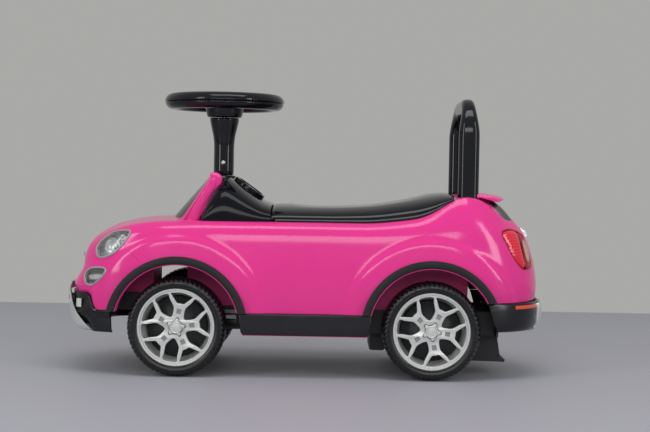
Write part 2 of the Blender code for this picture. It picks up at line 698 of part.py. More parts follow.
def make_chassis():
    pan = outline("chassis_pan", both_sides(PAN_HALF), PAN_TOP - PAN_Z0, (0, 0, (PAN_TOP + PAN_Z0) / 2), "z")
    cut(pan, outline("pan_pocket", both_sides(POCKET_HALF), 0.06, (0, 0, PAN_FLOOR + 0.03), "z", CUTTERS))
    cut(pan, box("steering_bay", -0.2000, -0.0950, -0.1000, 0.1000, PAN_FLOOR, 0.12, CUTTERS))
    for side, sign in SIDES:
        cut(pan, rod(f"kingpin_hole_{side}", (FRONT_X, sign * KINGPIN_Y, 0.05), "z", AXLE_R + GAP, 0.05, PIN_SIDES,
                     CUTTERS))
    join(pan, rod("axle_boss", (REAR_X, -0.0795, AXLE_Z), "y", 0.0085, 0.1590, PIN_SIDES, CUTTERS))
    cut(pan, rod("axle_bore", (REAR_X, -0.12, AXLE_Z), "y", AXLE_R + GAP, 0.24, PIN_SIDES, CUTTERS))
    paint(pan, MATT)

    bridge = box("steering_bridge", -0.2000, -0.0950, -0.0500, 0.0500, 0.0900, 0.0960)
    for side, sign in SIDES:
        y0, y1 = sorted((sign * 0.040, sign * 0.0815))
        join(bridge, box(f"bridge_ear_{side}", -0.1930, -0.1710, y0, y1, 0.0900, 0.0960, CUTTERS))
        y0, y1 = sorted((sign * 0.0380, sign * 0.0500))
        for end, x0, x1 in (("front", -0.2000, -0.1940), ("rear", -0.1010, -0.0950)):
            join(bridge, box(f"bridge_post_{end}_{side}", x0, x1, y0, y1, PAN_FLOOR + GAP, 0.0930, CUTTERS))
    for side, sign in SIDES:
        cut(bridge, rod(f"bridge_hole_{side}", (FRONT_X, sign * KINGPIN_Y, 0.08), "z", AXLE_R + GAP, 0.03, PIN_SIDES,
                        CUTTERS))
    cut(bridge, rod("bridge_column_hole", (COLUMN_X, 0, 0.08), "z", AXLE_R + GAP, 0.03, PIN_SIDES, CUTTERS))
    paint(bridge, MATT)

    axle = rod("rear_axle", (REAR_X, -AXLE_END, AXLE_Z), "y", AXLE_R, 2 * AXLE_END, PIN_SIDES)
    paint(axle, STEEL)

    guard_side = [(0.0980, PAN_Z0 - GAP), (0.0980, 0.0345), (0.1020, 0.0335), (0.1180, 0.0335), (0.1230, 0.0375),
                  (0.1700, 0.0400), (0.2350, 0.0330), (0.2480, 0.0205), (0.2990, 0.0195), (0.3000, 0.0230),
                  (0.2930, 0.0240), (0.2870, PAN_Z0 - GAP)]
    guard = outline("anti_tip_guard", guard_side, 0.1000, (0, 0, 0), "y")
    inner = [(0.1010, 0.080), (0.1010, 0.0375), (0.1175, 0.0365), (0.1220, 0.0405), (0.1700, 0.0430),
             (0.2362, 0.0360), (0.2490, 0.0240), (0.2890, 0.0240), (0.2835, 0.080)]
    cut(guard, outline("guard_pocket", inner, 0.0940, (0, 0, 0), "y", CUTTERS))
    paint(guard, MATT)


def make_tubs():
    """One pink moulding under the body: storage tub, column housing and nose box."""
    tub = box("storage_tub", -0.0375, 0.1748, -0.0755, 0.0755, PAN_FLOOR + GAP, 0.2202)
    join(tub, box("tub_rear_part", 0.1500, 0.2400, -0.0755, 0.0755, 0.0968, 0.2202, CUTTERS))
    join(tub, box("housing_block", -0.1740, -0.0345, -0.0550, 0.0550, PAN_TOP + GAP, 0.2200, CUTTERS))
    join(tub, box("nose_block", -0.3120, -0.2240, -0.0520, 0.0520, PAN_TOP + GAP, 0.1750, CUTTERS))
    join(tub, box("spine_plate", -0.2260, -0.1720, -0.0400, 0.0400, PAN_TOP + GAP, PAN_TOP + 0.0033, CUTTERS))
    cut(tub, box("tub_pocket", -0.0345, 0.1718, -0.0725, 0.0725, 0.0690, 0.24, CUTTERS))
    cut(tub, box("tub_pocket_rear", 0.1600, 0.2370, -0.0725, 0.0725, 0.1000, 0.24, CUTTERS))
    cut(tub, box("housing_pocket", -0.1710, -0.0375, -0.0520, 0.0520, 0.0800, 0.2172, CUTTERS))
    cut(tub, rod("housing_hole", (COLUMN_X, 0, 0.20), "z", AXLE_R + 0.0010, 0.05, PIN_SIDES, CUTTERS))
    cut(tub, box("nose_pocket", -0.3090, -0.2270, -0.0490, 0.0490, 0.0800, 0.1720, CUTTERS))
    paint(tub, PINK)


def make_knuckles():
    for side, sign in SIDES:
        y = sign * KINGPIN_Y
        knuckle = rod(f"knuckle_{side}", (FRONT_X, y, 0.0560), "z", AXLE_R, 0.0440, PIN_SIDES)
        join(knuckle, rod(f"knuckle_block_{side}", (FRONT_X, y, PAN_FLOOR + GAP), "z", 0.0085, 0.0239, PIN_SIDES,
                          CUTTERS))
        start, end = sorted((sign * KINGPIN_Y, sign * AXLE_END))
        join(knuckle, rod(f"stub_axle_{side}", (FRONT_X, start, AXLE_Z), "y", AXLE_R, end - start, PIN_SIDES, CUTTERS))
        join(knuckle, outline(f"knuckle_arm_{side}", slot_ring(ARM, 0.0055, FRONT_X + ARM / 2, y, 5), 0.0065,
                              (0, 0, PAN_FLOOR + 0.0006 + 0.00325), "z", CUTTERS))
        join(knuckle, rod(f"knuckle_pin_{side}", (TIE_X, y, 0.0700), "z", PIN_R, 0.0120, PIN_SIDES, CUTTERS))
        paint(knuckle, STEEL)

    bar = [(TIE_X - 0.0075, -0.0790), (TIE_X + 0.0075, -0.0790), (TIE_X + 0.0075, -0.0140),
           (COLUMN_X + CRANK + 0.0090, -0.0110), (COLUMN_X + CRANK + 0.0090, 0.0110),
           (TIE_X + 0.0075, 0.0140), (TIE_X + 0.0075, 0.0790), (TIE_X - 0.0075, 0.0790)]
    holes = [slot_ring(0.0040, PIN_R + 0.0006, TIE_X - 0.0010, y, 5) for y in (-KINGPIN_Y, KINGPIN_Y)]
    holes.append(slot_ring(0.0052, PIN_R + 0.0009, COLUMN_X + CRANK - 0.0018, 0.0, 5))
    tie = outline("tie_rod", bar, 0.0050, (0, 0, 0.0755), "z", holes=holes)
    paint(tie, STEEL)


def make_steering():
    steel = rod("steering_rod", (COLUMN_X, 0, 0.0805), "z", AXLE_R, 0.3045, PIN_SIDES)
    join(steel, outline("crank_arm", slot_ring(CRANK, 0.0055, COLUMN_X + CRANK / 2, 0, 5), 0.0060,
                        (0, 0, 0.0835), "z", CUTTERS))
    join(steel, rod("crank_pin", (COLUMN_X + CRANK, 0, 0.0725), "z", PIN_R, 0.0100, PIN_SIDES, CUTTERS))
    paint(steel, STEEL)

    bore = AXLE_R + GAP
    column = turned("steering_column", [(0.0140, 0.2895), (0.0152, 0.2910), (0.0152, 0.3340), (0.0165, 0.3480),
                                        (0.0205, 0.3660), (0.0220, 0.3765), (bore, 0.3765), (bore, 0.2895)][::-1],
                    "z", (COLUMN_X, 0, 0), 20)
    cut(column, rod("screw_recess", (COLUMN_X, -0.0300, 0.3087), "y", 0.0042, 0.0300 - 0.0132, PIN_SIDES, CUTTERS))
    paint(column, BLACK)
    screw = rod("column_screw", (COLUMN_X, -0.0148, 0.3087), "y", 0.0037, 0.0012, PIN_SIDES)
    cut(screw, box("screw_slot", COLUMN_X - 0.0026, COLUMN_X + 0.0026, -0.0155, -0.0142, 0.3082, 0.3092, CUTTERS))
    paint(screw, STEEL)

    half = 0.0130
    inner = WHEEL_RADIUS - 2 * half
    mid = WHEEL_RADIUS - half
    upper = [(WHEEL_RADIUS, WHEEL_Z + GAP), (WHEEL_RADIUS - 0.0020, WHEEL_Z + 0.0080),
             (mid + 0.0040, WHEEL_Z + 0.0130), (mid - 0.0040, WHEEL_Z + 0.0130),
             (inner + 0.0020, WHEEL_Z + 0.0080), (inner, WHEEL_Z + GAP)]
    lower = [(WHEEL_RADIUS - 0.0008, WHEEL_Z), (inner + 0.0008, WHEEL_Z), (inner + 0.0025, WHEEL_Z - 0.0070),
             (mid - 0.0040, WHEEL_Z - 0.0112), (mid + 0.0040, WHEEL_Z - 0.0112),
             (WHEEL_RADIUS - 0.0025, WHEEL_Z - 0.0070)]
    centre = (COLUMN_X, 0, 0)
    wheel = turned("steering_wheel", upper, "z", centre, WHEEL_SIDES)
    cap = turned("wheel_hub_upper", [(0.0, WHEEL_Z + GAP), (0.0290, WHEEL_Z + GAP), (0.0285, WHEEL_Z + 0.0090),
                                     (0.0240, WHEEL_Z + 0.0145), (0.0160, WHEEL_Z + 0.0160),
                                     (0.0, WHEEL_Z + 0.0160)], "z", centre, 18, CUTTERS)
    join(wheel, cap)
    base = turned("steering_wheel_underside", lower, "z", centre, WHEEL_SIDES)
    boss = turned("wheel_hub_lower", [(0.0, WHEEL_Z), (0.0, 0.3768), (0.0255, 0.3768), (0.0275, 0.3850),
                                      (0.0290, WHEEL_Z)], "z", centre, 18, CUTTERS)
    join(base, boss)
    for index, angle in enumerate((90, 210, 330)):
        a = math.radians(angle)
        c, s = math.cos(a), math.sin(a)

        def turn(u, v):
            return (COLUMN_X + u * c - v * s, u * s + v * c)

        shape = [turn(0.020, -0.0140), (turn(0.050, -0.0095)), turn(0.0720, -0.0130), turn(0.0720, 0.0130),
                 turn(0.050, 0.0095), turn(0.020, 0.0140)]
        join(wheel, outline(f"spoke_upper_{index}", shape, 0.0090 - GAP, (0, 0, WHEEL_Z + GAP + 0.0045 - GAP / 2),
                            "z", CUTTERS))
        join(base, outline(f"spoke_lower_{index}", shape, 0.0070, (0, 0, WHEEL_Z - 0.0035), "z", CUTTERS))
    cut(base, rod("hub_socket", (COLUMN_X, 0, 0.3600), "z", bore, 0.0253, PIN_SIDES, CUTTERS))
    tops = (("horn_button", 0.0, 0.0110, 0.0020), ("music_button_left", -0.0190, 0.0048, 0.0012),
            ("music_button_right", 0.0190, 0.0048, 0.0012))
    for name, y, radius, proud in tops:
        floor = WHEEL_Z + 0.0105
        top = WHEEL_Z + 0.0160 + proud - 0.0006
        if y:
            top = WHEEL_Z + 0.0153 + proud
        cut(wheel, rod(name + "_well", (COLUMN_X, y, floor), "z", radius + GAP, 0.02, 16, CUTTERS))
        button = turned(name, [(0.0, floor + 0.0023), (radius, floor + 0.0023), (radius, top - 0.0012),
                               (radius - 0.0010, top - 0.0003), (0.0, top)], "z", (COLUMN_X, y, 0), 16)
        paint(button, GREY if y else BLACK)
    paint(wheel, BLACK)
    paint(base, BLACK)


def tyre_profile():
    half = TYRE_WIDTH / 2
    lip = RIM_R + GAP
    return [(lip, -half + 0.0025), (TYRE_R - 0.0055, -half), (TYRE_R, -half + 0.0060),
            (TYRE_R, half - 0.0060), (TYRE_R - 0.0055, half), (lip, half - 0.0025)]


def make_tyre(name, x, y):
    """A ring of sections round the axle; every second pair is a tread lug."""
    profile = tyre_profile()
    rows = len(profile)
    verts = []
    count = LUGS * 2
    for i in range(count):
        angle = 2 * math.pi * (i + (0.18 if i % 2 else -0.18)) / count
        groove = i % 2
        for r, h in profile:
            if r > TYRE_R - 0.001:
                r -= GROOVE if groove else 0.0
            verts.append((x + r * math.cos(angle), y + h, AXLE_Z + r * math.sin(angle)))
    faces = []
    for i in range(count):
        n = (i + 1) % count
        for j in range(rows):
            k = (j + 1) % rows
            faces.append((i * rows + j, i * rows + k, n * rows + k, n * rows + j))
    obj = mesh_object(name, verts, faces)
    tidy_mesh(obj)
    return paint(obj, MATT)


def spoke_holes(x, turn_deg):
    """The large holes between two Y spokes, and the small one in each fork."""
    holes = []
    for k in range(5):
        mid = math.radians(turn_deg + 72 * k)

        def at(radius, degrees):
            a = mid + math.radians(degrees)
            return (x + radius * math.cos(a), AXLE_Z + radius * math.sin(a))

        fork = [at(0.0320, 0), at(0.0470, 9), at(0.0470, -9)]
        gap_mid = 36
        large = [at(0.0225, gap_mid + 10), at(0.0350, gap_mid + 18), at(0.0470, gap_mid + 14),
                 at(0.0475, gap_mid), at(0.0470, gap_mid - 14), at(0.0350, gap_mid - 18),
                 at(0.0225, gap_mid - 10)]
        holes += [fork, large]
    return holes


def make_wheel(name, x, sign, turn_deg):
    centre = sign * (TYRE_FACE - TYRE_WIDTH / 2)
    make_tyre(f"tyre_{name}", x, centre)
    half = TYRE_WIDTH / 2
    barrel = turned(f"rim_{name}", [(RIM_R, half - 0.0010), (RIM_R - 0.0050, half - 0.0015),
                                    (RIM_R - 0.0055, -half + 0.0020), (RIM_R, -half + 0.0020)],
                    "y", (x, centre, AXLE_Z), WHEEL_SIDES, facing=sign)
    face = outline(f"rim_face_{name}", ring(RIM_R - 0.0020, WHEEL_SIDES, x, AXLE_Z), 0.0075,
                   (0, centre + sign * (half - 0.0075), 0), "y", CUTTERS, holes=spoke_holes(x, turn_deg))
    join(barrel, face)
    start, end = sorted((sign * (TYRE_FACE - 0.0040), sign * (TYRE_FACE - TYRE_WIDTH + 0.0020)))
    join(barrel, rod(f"rim_hub_{name}", (x, start, AXLE_Z), "y", 0.0150, end - start, PIN_SIDES, CUTTERS))
    cut(barrel, rod(f"rim_bore_{name}", (x, min(sign * 0.08, sign * 0.15), AXLE_Z), "y", AXLE_R + GAP, 0.07, PIN_SIDES,
                    CUTTERS))
    paint(barrel, SILVER)
    lobes = [(x + (0.0140 + 0.0010 * math.cos(5 * a)) * math.cos(a + math.radians(turn_deg)),
              AXLE_Z + (0.0140 + 0.0010 * math.cos(5 * a)) * math.sin(a + math.radians(turn_deg)))
             for a in [2 * math.pi * i / 15 for i in range(15)]]
    y0 = TYRE_FACE - 0.0040 + GAP
    y1 = TYRE_FACE + 0.0006
    cap = outline(f"hub_cap_{name}", lobes, y1 - y0, (0, sign * (y0 + y1) / 2, 0), "y")
    bevel(cap, 0.0010, 1, 50)
    paint(cap, SILVER)


LEG_Y = 0.0800
LEG_W = 0.0240
LEG_X0 = 0.2220
LEG_X1 = 0.2525
BACK_TOP = 0.4095


def make_backrest():
    """Inverted U: one rounded section carried up a leg, over the top and down the other."""
    half_x = (LEG_X1 - LEG_X0) / 2
    half_w = LEG_W / 2
    mid_x = (LEG_X0 + LEG_X1) / 2
    radius = 0.0400
    top = BACK_TOP - half_w
    path = [(-LEG_Y, 0.2450, 0.0), (-LEG_Y, 0.300, 0.0), (-LEG_Y, 0.345, 0.0)]
    for i in range(7):
        a = math.pi / 2 * i / 6
        path.append((-LEG_Y + radius - radius * math.cos(a), top - radius + radius * math.sin(a), a))
    path.append((0.0, top, math.pi / 2))
    mirrored = [(-y, z, math.pi - a) for y, z, a in reversed(path[:-1])]
    path += mirrored
    corner = 0.0055
    section = [(-half_x + corner, -half_w), (half_x - corner, -half_w), (half_x, -half_w + corner),
               (half_x, half_w - corner), (half_x - corner, half_w), (-half_x + corner, half_w),
               (-half_x, half_w - corner), (-half_x, -half_w + corner)]
    verts = []
    for y, z, a in path:
        for u, v in section:
            shrink = 1.0
            if z > 0.36:
                shrink = 1.0 - 0.12 * smooth(0.36, top, z)
            verts.append((mid_x + u * shrink, y - v * math.cos(a), z + v * math.sin(a)))
    rows = len(section)
    faces = [tuple(range(rows)), tuple(range(len(verts) - rows, len(verts)))]
    for i in range(len(path) - 1):
        for j in range(rows):
            k = (j + 1) % rows
            faces.append((i * rows + j, i * rows + k, (i + 1) * rows + k, (i + 1) * rows + j))
    obj = mesh_object("backrest", verts, faces)
    tidy_mesh(obj)
    paint(obj, BLACK)


LID_CREST = [(-0.0500, 0.2417), (-0.0480, 0.2462), (-0.0430, 0.2484), (0.0500, 0.2488), (0.1000, 0.2525),
             (0.1500, 0.2603), (0.1750, 0.2652), (0.2000, 0.2695), (0.2150, 0.2690)]


def top_edge(x):
    """Place of the body's top edge at X, found between the stations' own points."""
    rows = [body_section(s)[SIDE_ROWS - 1] for s in STATIONS]
    for a, b in zip(rows, rows[1:]):
        if a[0] <= x <= b[0]:
            t = (x - a[0]) / (b[0] - a[0])
            return (a[1] + (b[1] - a[1]) * t, a[2] + (b[2] - a[2]) * t)
    return rows[-1][1:]


def saddle(name, crest, exponent, inset, rows=6, lift=0.0, owner=None):
    """Half of a crowned cover: a superellipse across, standing on the body's top edge."""
    sections = []
    for x, top in crest:
        y_edge, z_edge = top_edge(x)
        y_edge -= inset
        z_edge += lift
        points = []
        for i in range(rows + 1):
            a = math.pi / 2 * i / rows
            y = y_edge * math.cos(a) ** (2 / exponent)
            z = z_edge + (top - z_edge) * math.sin(a) ** (2 / exponent)
            points.append((x, -y if i < rows else 0.0, z))
        sections.append(points)
    verts = [p for section in sections for p in section]
    count = rows + 1
    faces = []
    for i in range(len(sections) - 1):
        for j in range(rows):
            a, b = i * count + j, (i + 1) * count + j
            faces += [(a, b, b + 1), (a, b + 1, a + 1)]
    obj = mesh_object(name, verts, faces, owner)
    return mirror(obj)


def clear_of_body(piece):
    bake(piece)
    tidy_mesh(piece)
    cut(piece, GUIDE)
    bake(piece)
    tidy_mesh(piece)
    return piece


def make_seat():
    lid = saddle("seat_lid", LID_CREST, 2.6, 0.0012, 6, 0.0004)
    solidify(lid, 0.0, 0.0030)
    clear_of_body(lid)
    for side, sign in SIDES:
        y0, y1 = sorted((sign * 0.0296, sign * 0.0370))
        y2, y3 = sorted((sign * 0.0195, sign * 0.0293))
        cut(lid, box(f"lid_notch_{side}", LID_FRONT - 0.0020, HINGE_X + 0.0042, y2, y3, 0.2300, 0.2600, CUTTERS))
        lug = box(f"lid_lug_{side}", HINGE_X - 0.0030, HINGE_X + 0.0030, y0, y1, HINGE_Z - 0.0030,
                  HINGE_Z + 0.0050, CUTTERS)
        join(lid, lug)
    # the heel ahead of the hinge swings down as the lid opens, so it is cut back by that much
    edge = top_edge(HINGE_X)[1]
    swing = math.hypot(HINGE_X - LID_FRONT, HINGE_Z - edge) - (HINGE_Z - edge)
    cut(lid, box("lid_heel", LID_FRONT - 0.0020, HINGE_X + 0.0012, -0.1200, 0.1200, edge - 0.0100,
                 edge + swing + 3 * GAP, CUTTERS))
    cut(lid, rod("lid_pin_hole", (HINGE_X, -0.05, HINGE_Z), "y", HINGE_PIN_R + GAP, 0.1, PIN_SIDES, CUTTERS))
    paint(lid, BLACK)
    pin = rod("seat_hinge_pin", (HINGE_X, -0.0375, HINGE_Z), "y", HINGE_PIN_R, 0.0750, PIN_SIDES)
    paint(pin, STEEL)


DASH_CREST = [(-0.1500, 0.2330), (-0.1420, 0.2600), (-0.1290, 0.2830), (-0.1180, 0.2885),
              (-0.1100, 0.2850), (-0.0650, 0.2530), (-0.0503, 0.2475)]


def make_dash():
    dash = saddle("dash_console", DASH_CREST, 1.55, 0.0012, 6, 0.0004)
    solidify(dash, 0.0, 0.0030)
    clear_of_body(dash)
    for side, sign in SIDES:
        cut(dash, pillar(f"pillar_space_{side}", sign, GAP))
        y0, y1 = sorted((sign * 0.0200, sign * 0.0287))
        join(dash, box(f"dash_lug_{side}", -0.0547, HINGE_X + 0.0028, y0, y1, HINGE_Z - 0.0028,
                       HINGE_Z + 0.0025, CUTTERS))
    cut(dash, rod("dash_pin_hole", (HINGE_X, -0.05, HINGE_Z), "y", HINGE_PIN_R + GAP / 3, 0.1, PIN_SIDES, CUTTERS))
    cut(dash, rod("dash_column_hole", (COLUMN_X, 0, 0.24), "z", AXLE_R + 0.0008, 0.08, PIN_SIDES, CUTTERS))
    cut(dash, rod("dash_column_seat", (COLUMN_X, 0, 0.2892), "z", 0.0175, 0.02, 16, CUTTERS))
    paint(dash, BLACK)

    tilt = math.atan2(0.2850 - 0.2530, 0.0450)
    panel = outline("gauge_panel", slot_ring(0.0260, 0.0165, 0.0, 0.0, 7), 0.0120, (0, 0, 0), "z")
    turn = Matrix.Rotation(tilt, 3, "Y") @ Matrix.Rotation(math.pi / 2, 3, "Z")
    middle = Vector((-0.0880, 0.0, 0.2694)) + turn @ Vector((0, 0, -0.0024))
    for vert in panel.data.vertices:
        vert.co = turn @ vert.co + middle
    tidy_mesh(panel)
    space = saddle("dash_space", DASH_CREST, 1.55, 0.0012, 6, 0.0004, CUTTERS)
    solidify(space, GAP, 0.0100)
    cut(panel, space)
    paint(panel, GREY)


PILLAR_Y = (0.0676, 0.0806)
PILLAR = [(-0.1880, 0.2110), (-0.1445, 0.2880), (-0.1400, 0.2940), (-0.1300, 0.2938), (-0.1240, 0.2855),
          (-0.1250, 0.2740), (-0.1620, 0.2110)]


def pillar(name, sign, spare):
    """Side plate of the windshield frame, or the space it needs."""
    y0, y1 = sorted((sign * (PILLAR_Y[0] - spare), sign * (PILLAR_Y[1] + spare)))
    shape = [grow(point, (-0.1500, 0.2550), spare * 1.5) for point in PILLAR]
    return outline(name, shape, y1 - y0, (0, (y0 + y1) / 2, 0), "y", CUTTERS)


def make_windshield():
    """Bowed dark panel in a frame of two pillars and a header."""
    rows = []
    for z, front, half, bow in ((0.2170, -0.2045, 0.0840, 0.0230), (0.2600, -0.1725, 0.0790, 0.0170),
                                (0.2930, -0.1500, 0.0740, 0.0120)):
        row = []
        for i in range(9):
            t = i / 8
            row.append((front + bow * t * t, -half * t, z))
        rows.append(row)
    verts = [p for row in rows for p in row]
    faces = []
    for i in range(2):
        for j in range(8):
            a, b = i * 9 + j, (i + 1) * 9 + j
            faces.append((a, b, b + 1, a + 1))
    return verts, faces


def make_windshield_parts():
    verts, faces = make_windshield()
    glass = mesh_object("windshield", verts, faces)
    mirror(glass)
    solidify(glass, 0.0013, 0.0012)
    bake(glass)
    tidy_mesh(glass)
    window = [(-0.0660, 0.2305), (-0.0640, 0.2600), (-0.0600, 0.2840), (0.0600, 0.2840), (0.0640, 0.2600),
              (0.0660, 0.2305)]
    tool = outline("windshield_outline", window, 0.2, (-0.15, 0, 0), "x", CUTTERS)
    frame = mesh_object("windshield_frame", verts, faces, CUTTERS)
    mirror(frame)
    solidify(frame, 0.0035, 0.0060)
    bake(frame)
    tidy_mesh(frame)
    wide = [(-0.0660 - GAP, 0.2305 - GAP), (-0.0640 - GAP, 0.2600), (-0.0600 - GAP, 0.2840 + GAP),
            (0.0600 + GAP, 0.2840 + GAP), (0.0640 + GAP, 0.2600), (0.0660 + GAP, 0.2305 - GAP)]
    cut(frame, outline("windshield_opening", wide, 0.2, (-0.15, 0, 0), "x", CUTTERS))
    for side, sign in SIDES:
        join(frame, pillar(f"pillar_{side}", sign, 0.0))
    bake(frame)
    tidy_mesh(frame)
    place(frame, CUTTERS)
    cut(glass, tool, "INTERSECT")
    bake(glass)
    tidy_mesh(glass)
    cut(glass, GUIDE)
    paint(glass, SMOKE)
    return frame


def make_small_trim():
    handle = band("tailgate_handle", [31.2, 31.6, 32], lambda s: [(-0.0290, 0.2145), (-0.0225, 0.2110),
                                                                  (-0.0195, 0.2050)], 0.0050)
    clear_of_body(handle)
    paint(handle, CHROME)
    grille = box("nose_bar", -0.3330, -0.3200, -0.0260, 0.0260, 0.1655, 0.1715)
    bevel(grille, 0.0012, 1)
    clear_of_body(grille)
    paint(grille, CHROME)
    for side, sign in SIDES:
        bowl = turned(f"headlight_reflector_{side}", [(0.0000, -0.0110), (0.0080, -0.0090), (0.0115, -0.0040),
                                                      (0.0122, -0.0010), (0.0095, -0.0010), (0.0070, -0.0060),
                                                      (0.0000, -0.0075)], "y", (-0.2760, sign * 0.1170, 0.1880), 16,
                      facing=sign)
        cut(bowl, skin_space(side, sign))
        bake(bowl)
        tidy_mesh(bowl)
        paint(bowl, SILVER)


def skin_space(side, sign):
    guide = skin(f"lens_space_{side}", 0.02, WALL + GAP, side=sign, stations=[3, 4, 5, 6, 7, 8],
                 owner=CUTTERS)
    bake(guide)
    tidy_mesh(guide)
    return guide


def set_origin(obj, point):
    """Put a moving piece's origin on its joint axis; the piece and its cutters stay where they are."""
    point = Vector(point)
    for vert in obj.data.vertices:
        vert.co -= point
    obj.location = point
    bpy.context.view_layer.update()
    for modifier in obj.modifiers:
        tool = getattr(modifier, "object", None)
        if tool and tool.parent is None:
            tool.parent = obj
            tool.matrix_parent_inverse = obj.matrix_world.inverted()


def set_joint_origins():
    pieces = bpy.data.objects
    for name in ("steering_rod", "steering_column", "column_screw", "steering_wheel",
                 "steering_wheel_underside", "horn_button"):
        set_origin(pieces[name], (COLUMN_X, 0, WHEEL_Z))
    for side, sign in SIDES:
        set_origin(pieces[f"music_button_{side}"], (COLUMN_X, sign * 0.0190, WHEEL_Z))
        set_origin(pieces[f"knuckle_{side}"], (FRONT_X, sign * KINGPIN_Y, AXLE_Z))
        for end, x in (("front", FRONT_X), ("rear", REAR_X)):
            for piece in ("tyre", "rim", "hub_cap"):
                centre = (x, sign * (TYRE_FACE - TYRE_WIDTH / 2), AXLE_Z)
                set_origin(pieces[f"{piece}_{end}_{side}"], centre)
    set_origin(pieces["tie_rod"], (TIE_X, 0, PAN_FLOOR))
    set_origin(pieces["seat_lid"], (HINGE_X, 0, HINGE_Z))


reset_scene()
PARTS = collection("parts")
CUTTERS = collection("cutters")
GUIDE = skin("body_space", GAP, 0.0090, owner=CUTTERS)
bake(GUIDE)
tidy_mesh(GUIDE)
as_cutter(GUIDE)
make_body()
make_arch_trims()
make_skirts()
make_bumpers()
make_chassis()
make_tubs()
make_knuckles()
make_steering()
for wheel_name, wheel_x, wheel_side, start in (("front_left", FRONT_X, -1, 77), ("front_right", FRONT_X, 1, 77),
                                               ("rear_left", REAR_X, -1, -8), ("rear_right", REAR_X, 1, -8)):
    make_wheel(wheel_name, wheel_x, wheel_side, start)
make_backrest()
make_seat()
make_dash()
make_small_trim()
set_joint_origins()
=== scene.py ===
import math

import bmesh
import bpy
from mathutils import Matrix, Vector
from mathutils.bvhtree import BVHTree
from mathutils.geometry import delaunay_2d_cdt


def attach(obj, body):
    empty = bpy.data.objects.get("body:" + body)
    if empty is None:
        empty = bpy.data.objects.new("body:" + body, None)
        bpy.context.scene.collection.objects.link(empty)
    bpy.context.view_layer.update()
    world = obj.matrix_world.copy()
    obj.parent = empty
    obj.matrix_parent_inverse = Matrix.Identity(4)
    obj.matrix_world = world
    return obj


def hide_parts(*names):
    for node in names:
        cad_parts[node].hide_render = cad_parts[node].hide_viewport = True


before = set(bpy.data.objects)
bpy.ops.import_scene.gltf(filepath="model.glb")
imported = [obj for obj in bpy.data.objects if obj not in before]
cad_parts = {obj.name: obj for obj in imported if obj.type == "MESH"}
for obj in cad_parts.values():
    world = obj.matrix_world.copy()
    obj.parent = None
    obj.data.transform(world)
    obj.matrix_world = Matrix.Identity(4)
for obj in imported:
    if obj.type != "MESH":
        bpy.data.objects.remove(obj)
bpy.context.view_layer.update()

# Sizes shared with the solids, in metres. The car's front faces -X, its left side -Y.
TYRE_R = 0.0713
TYRE_WIDTH = 0.049
TYRE_FACE = 0.1370
RIM_R = 0.0555
AXLE_Z = 0.0713
FRONT_X = -0.1820
REAR_X = 0.1840
COLUMN_X = -0.1265
WHEEL_Z = 0.3990
WHEEL_RADIUS = 0.0905
ARCH_R = 0.0893
TRIM_IN = 0.0907
TRIM_OUT = 0.1018
CREASE_R = 0.1280
FLARE = 0.0040
SILL_Z = 0.0933
TAIL_Z = 0.1132
BODY_WALL = 0.0028
LAST_PLACE = 32
SIDE_ROWS, TOP_ROWS = 44, 22
NEAR = 0.00001  # points closer together than about this are one
SIDES = (("left", -1), ("right", 1))
FULL_TURN = 2 * math.pi

# Half of the body's outline from above, from nose to tail, in mm: X, Y, and the X on the middle line that the
# section at this place runs to. The place s is the row's number.
PLAN = [
    (-344.5, 0, -240), (-343.5, 32, -238), (-339.5, 62, -235), (-331, 86, -231), (-316, 104, -226),
    (-297, 115.5, -219), (-274, 124.5, -210), (-250, 130, -200), (-225, 133, -189), (-200, 134.5, -176),
    (-175, 135, -162), (-150, 135, -146), (-125, 134.5, -124), (-100, 134, -100), (-75, 133.5, -75),
    (-50, 133, -50), (0, 132.5, 0), (50, 132.5, 50), (75, 133, 75), (100, 133.5, 100), (125, 134, 125),
    (150, 134.5, 150), (175, 135, 174), (200, 135, 197), (225, 134, 216), (250, 131.5, 230),
    (272, 126.5, 240), (293, 118.5, 247), (312, 106.5, 252), (328, 89, 257), (339.5, 65, 260),
    (346.5, 36, 262), (349.5, 0, 263)]

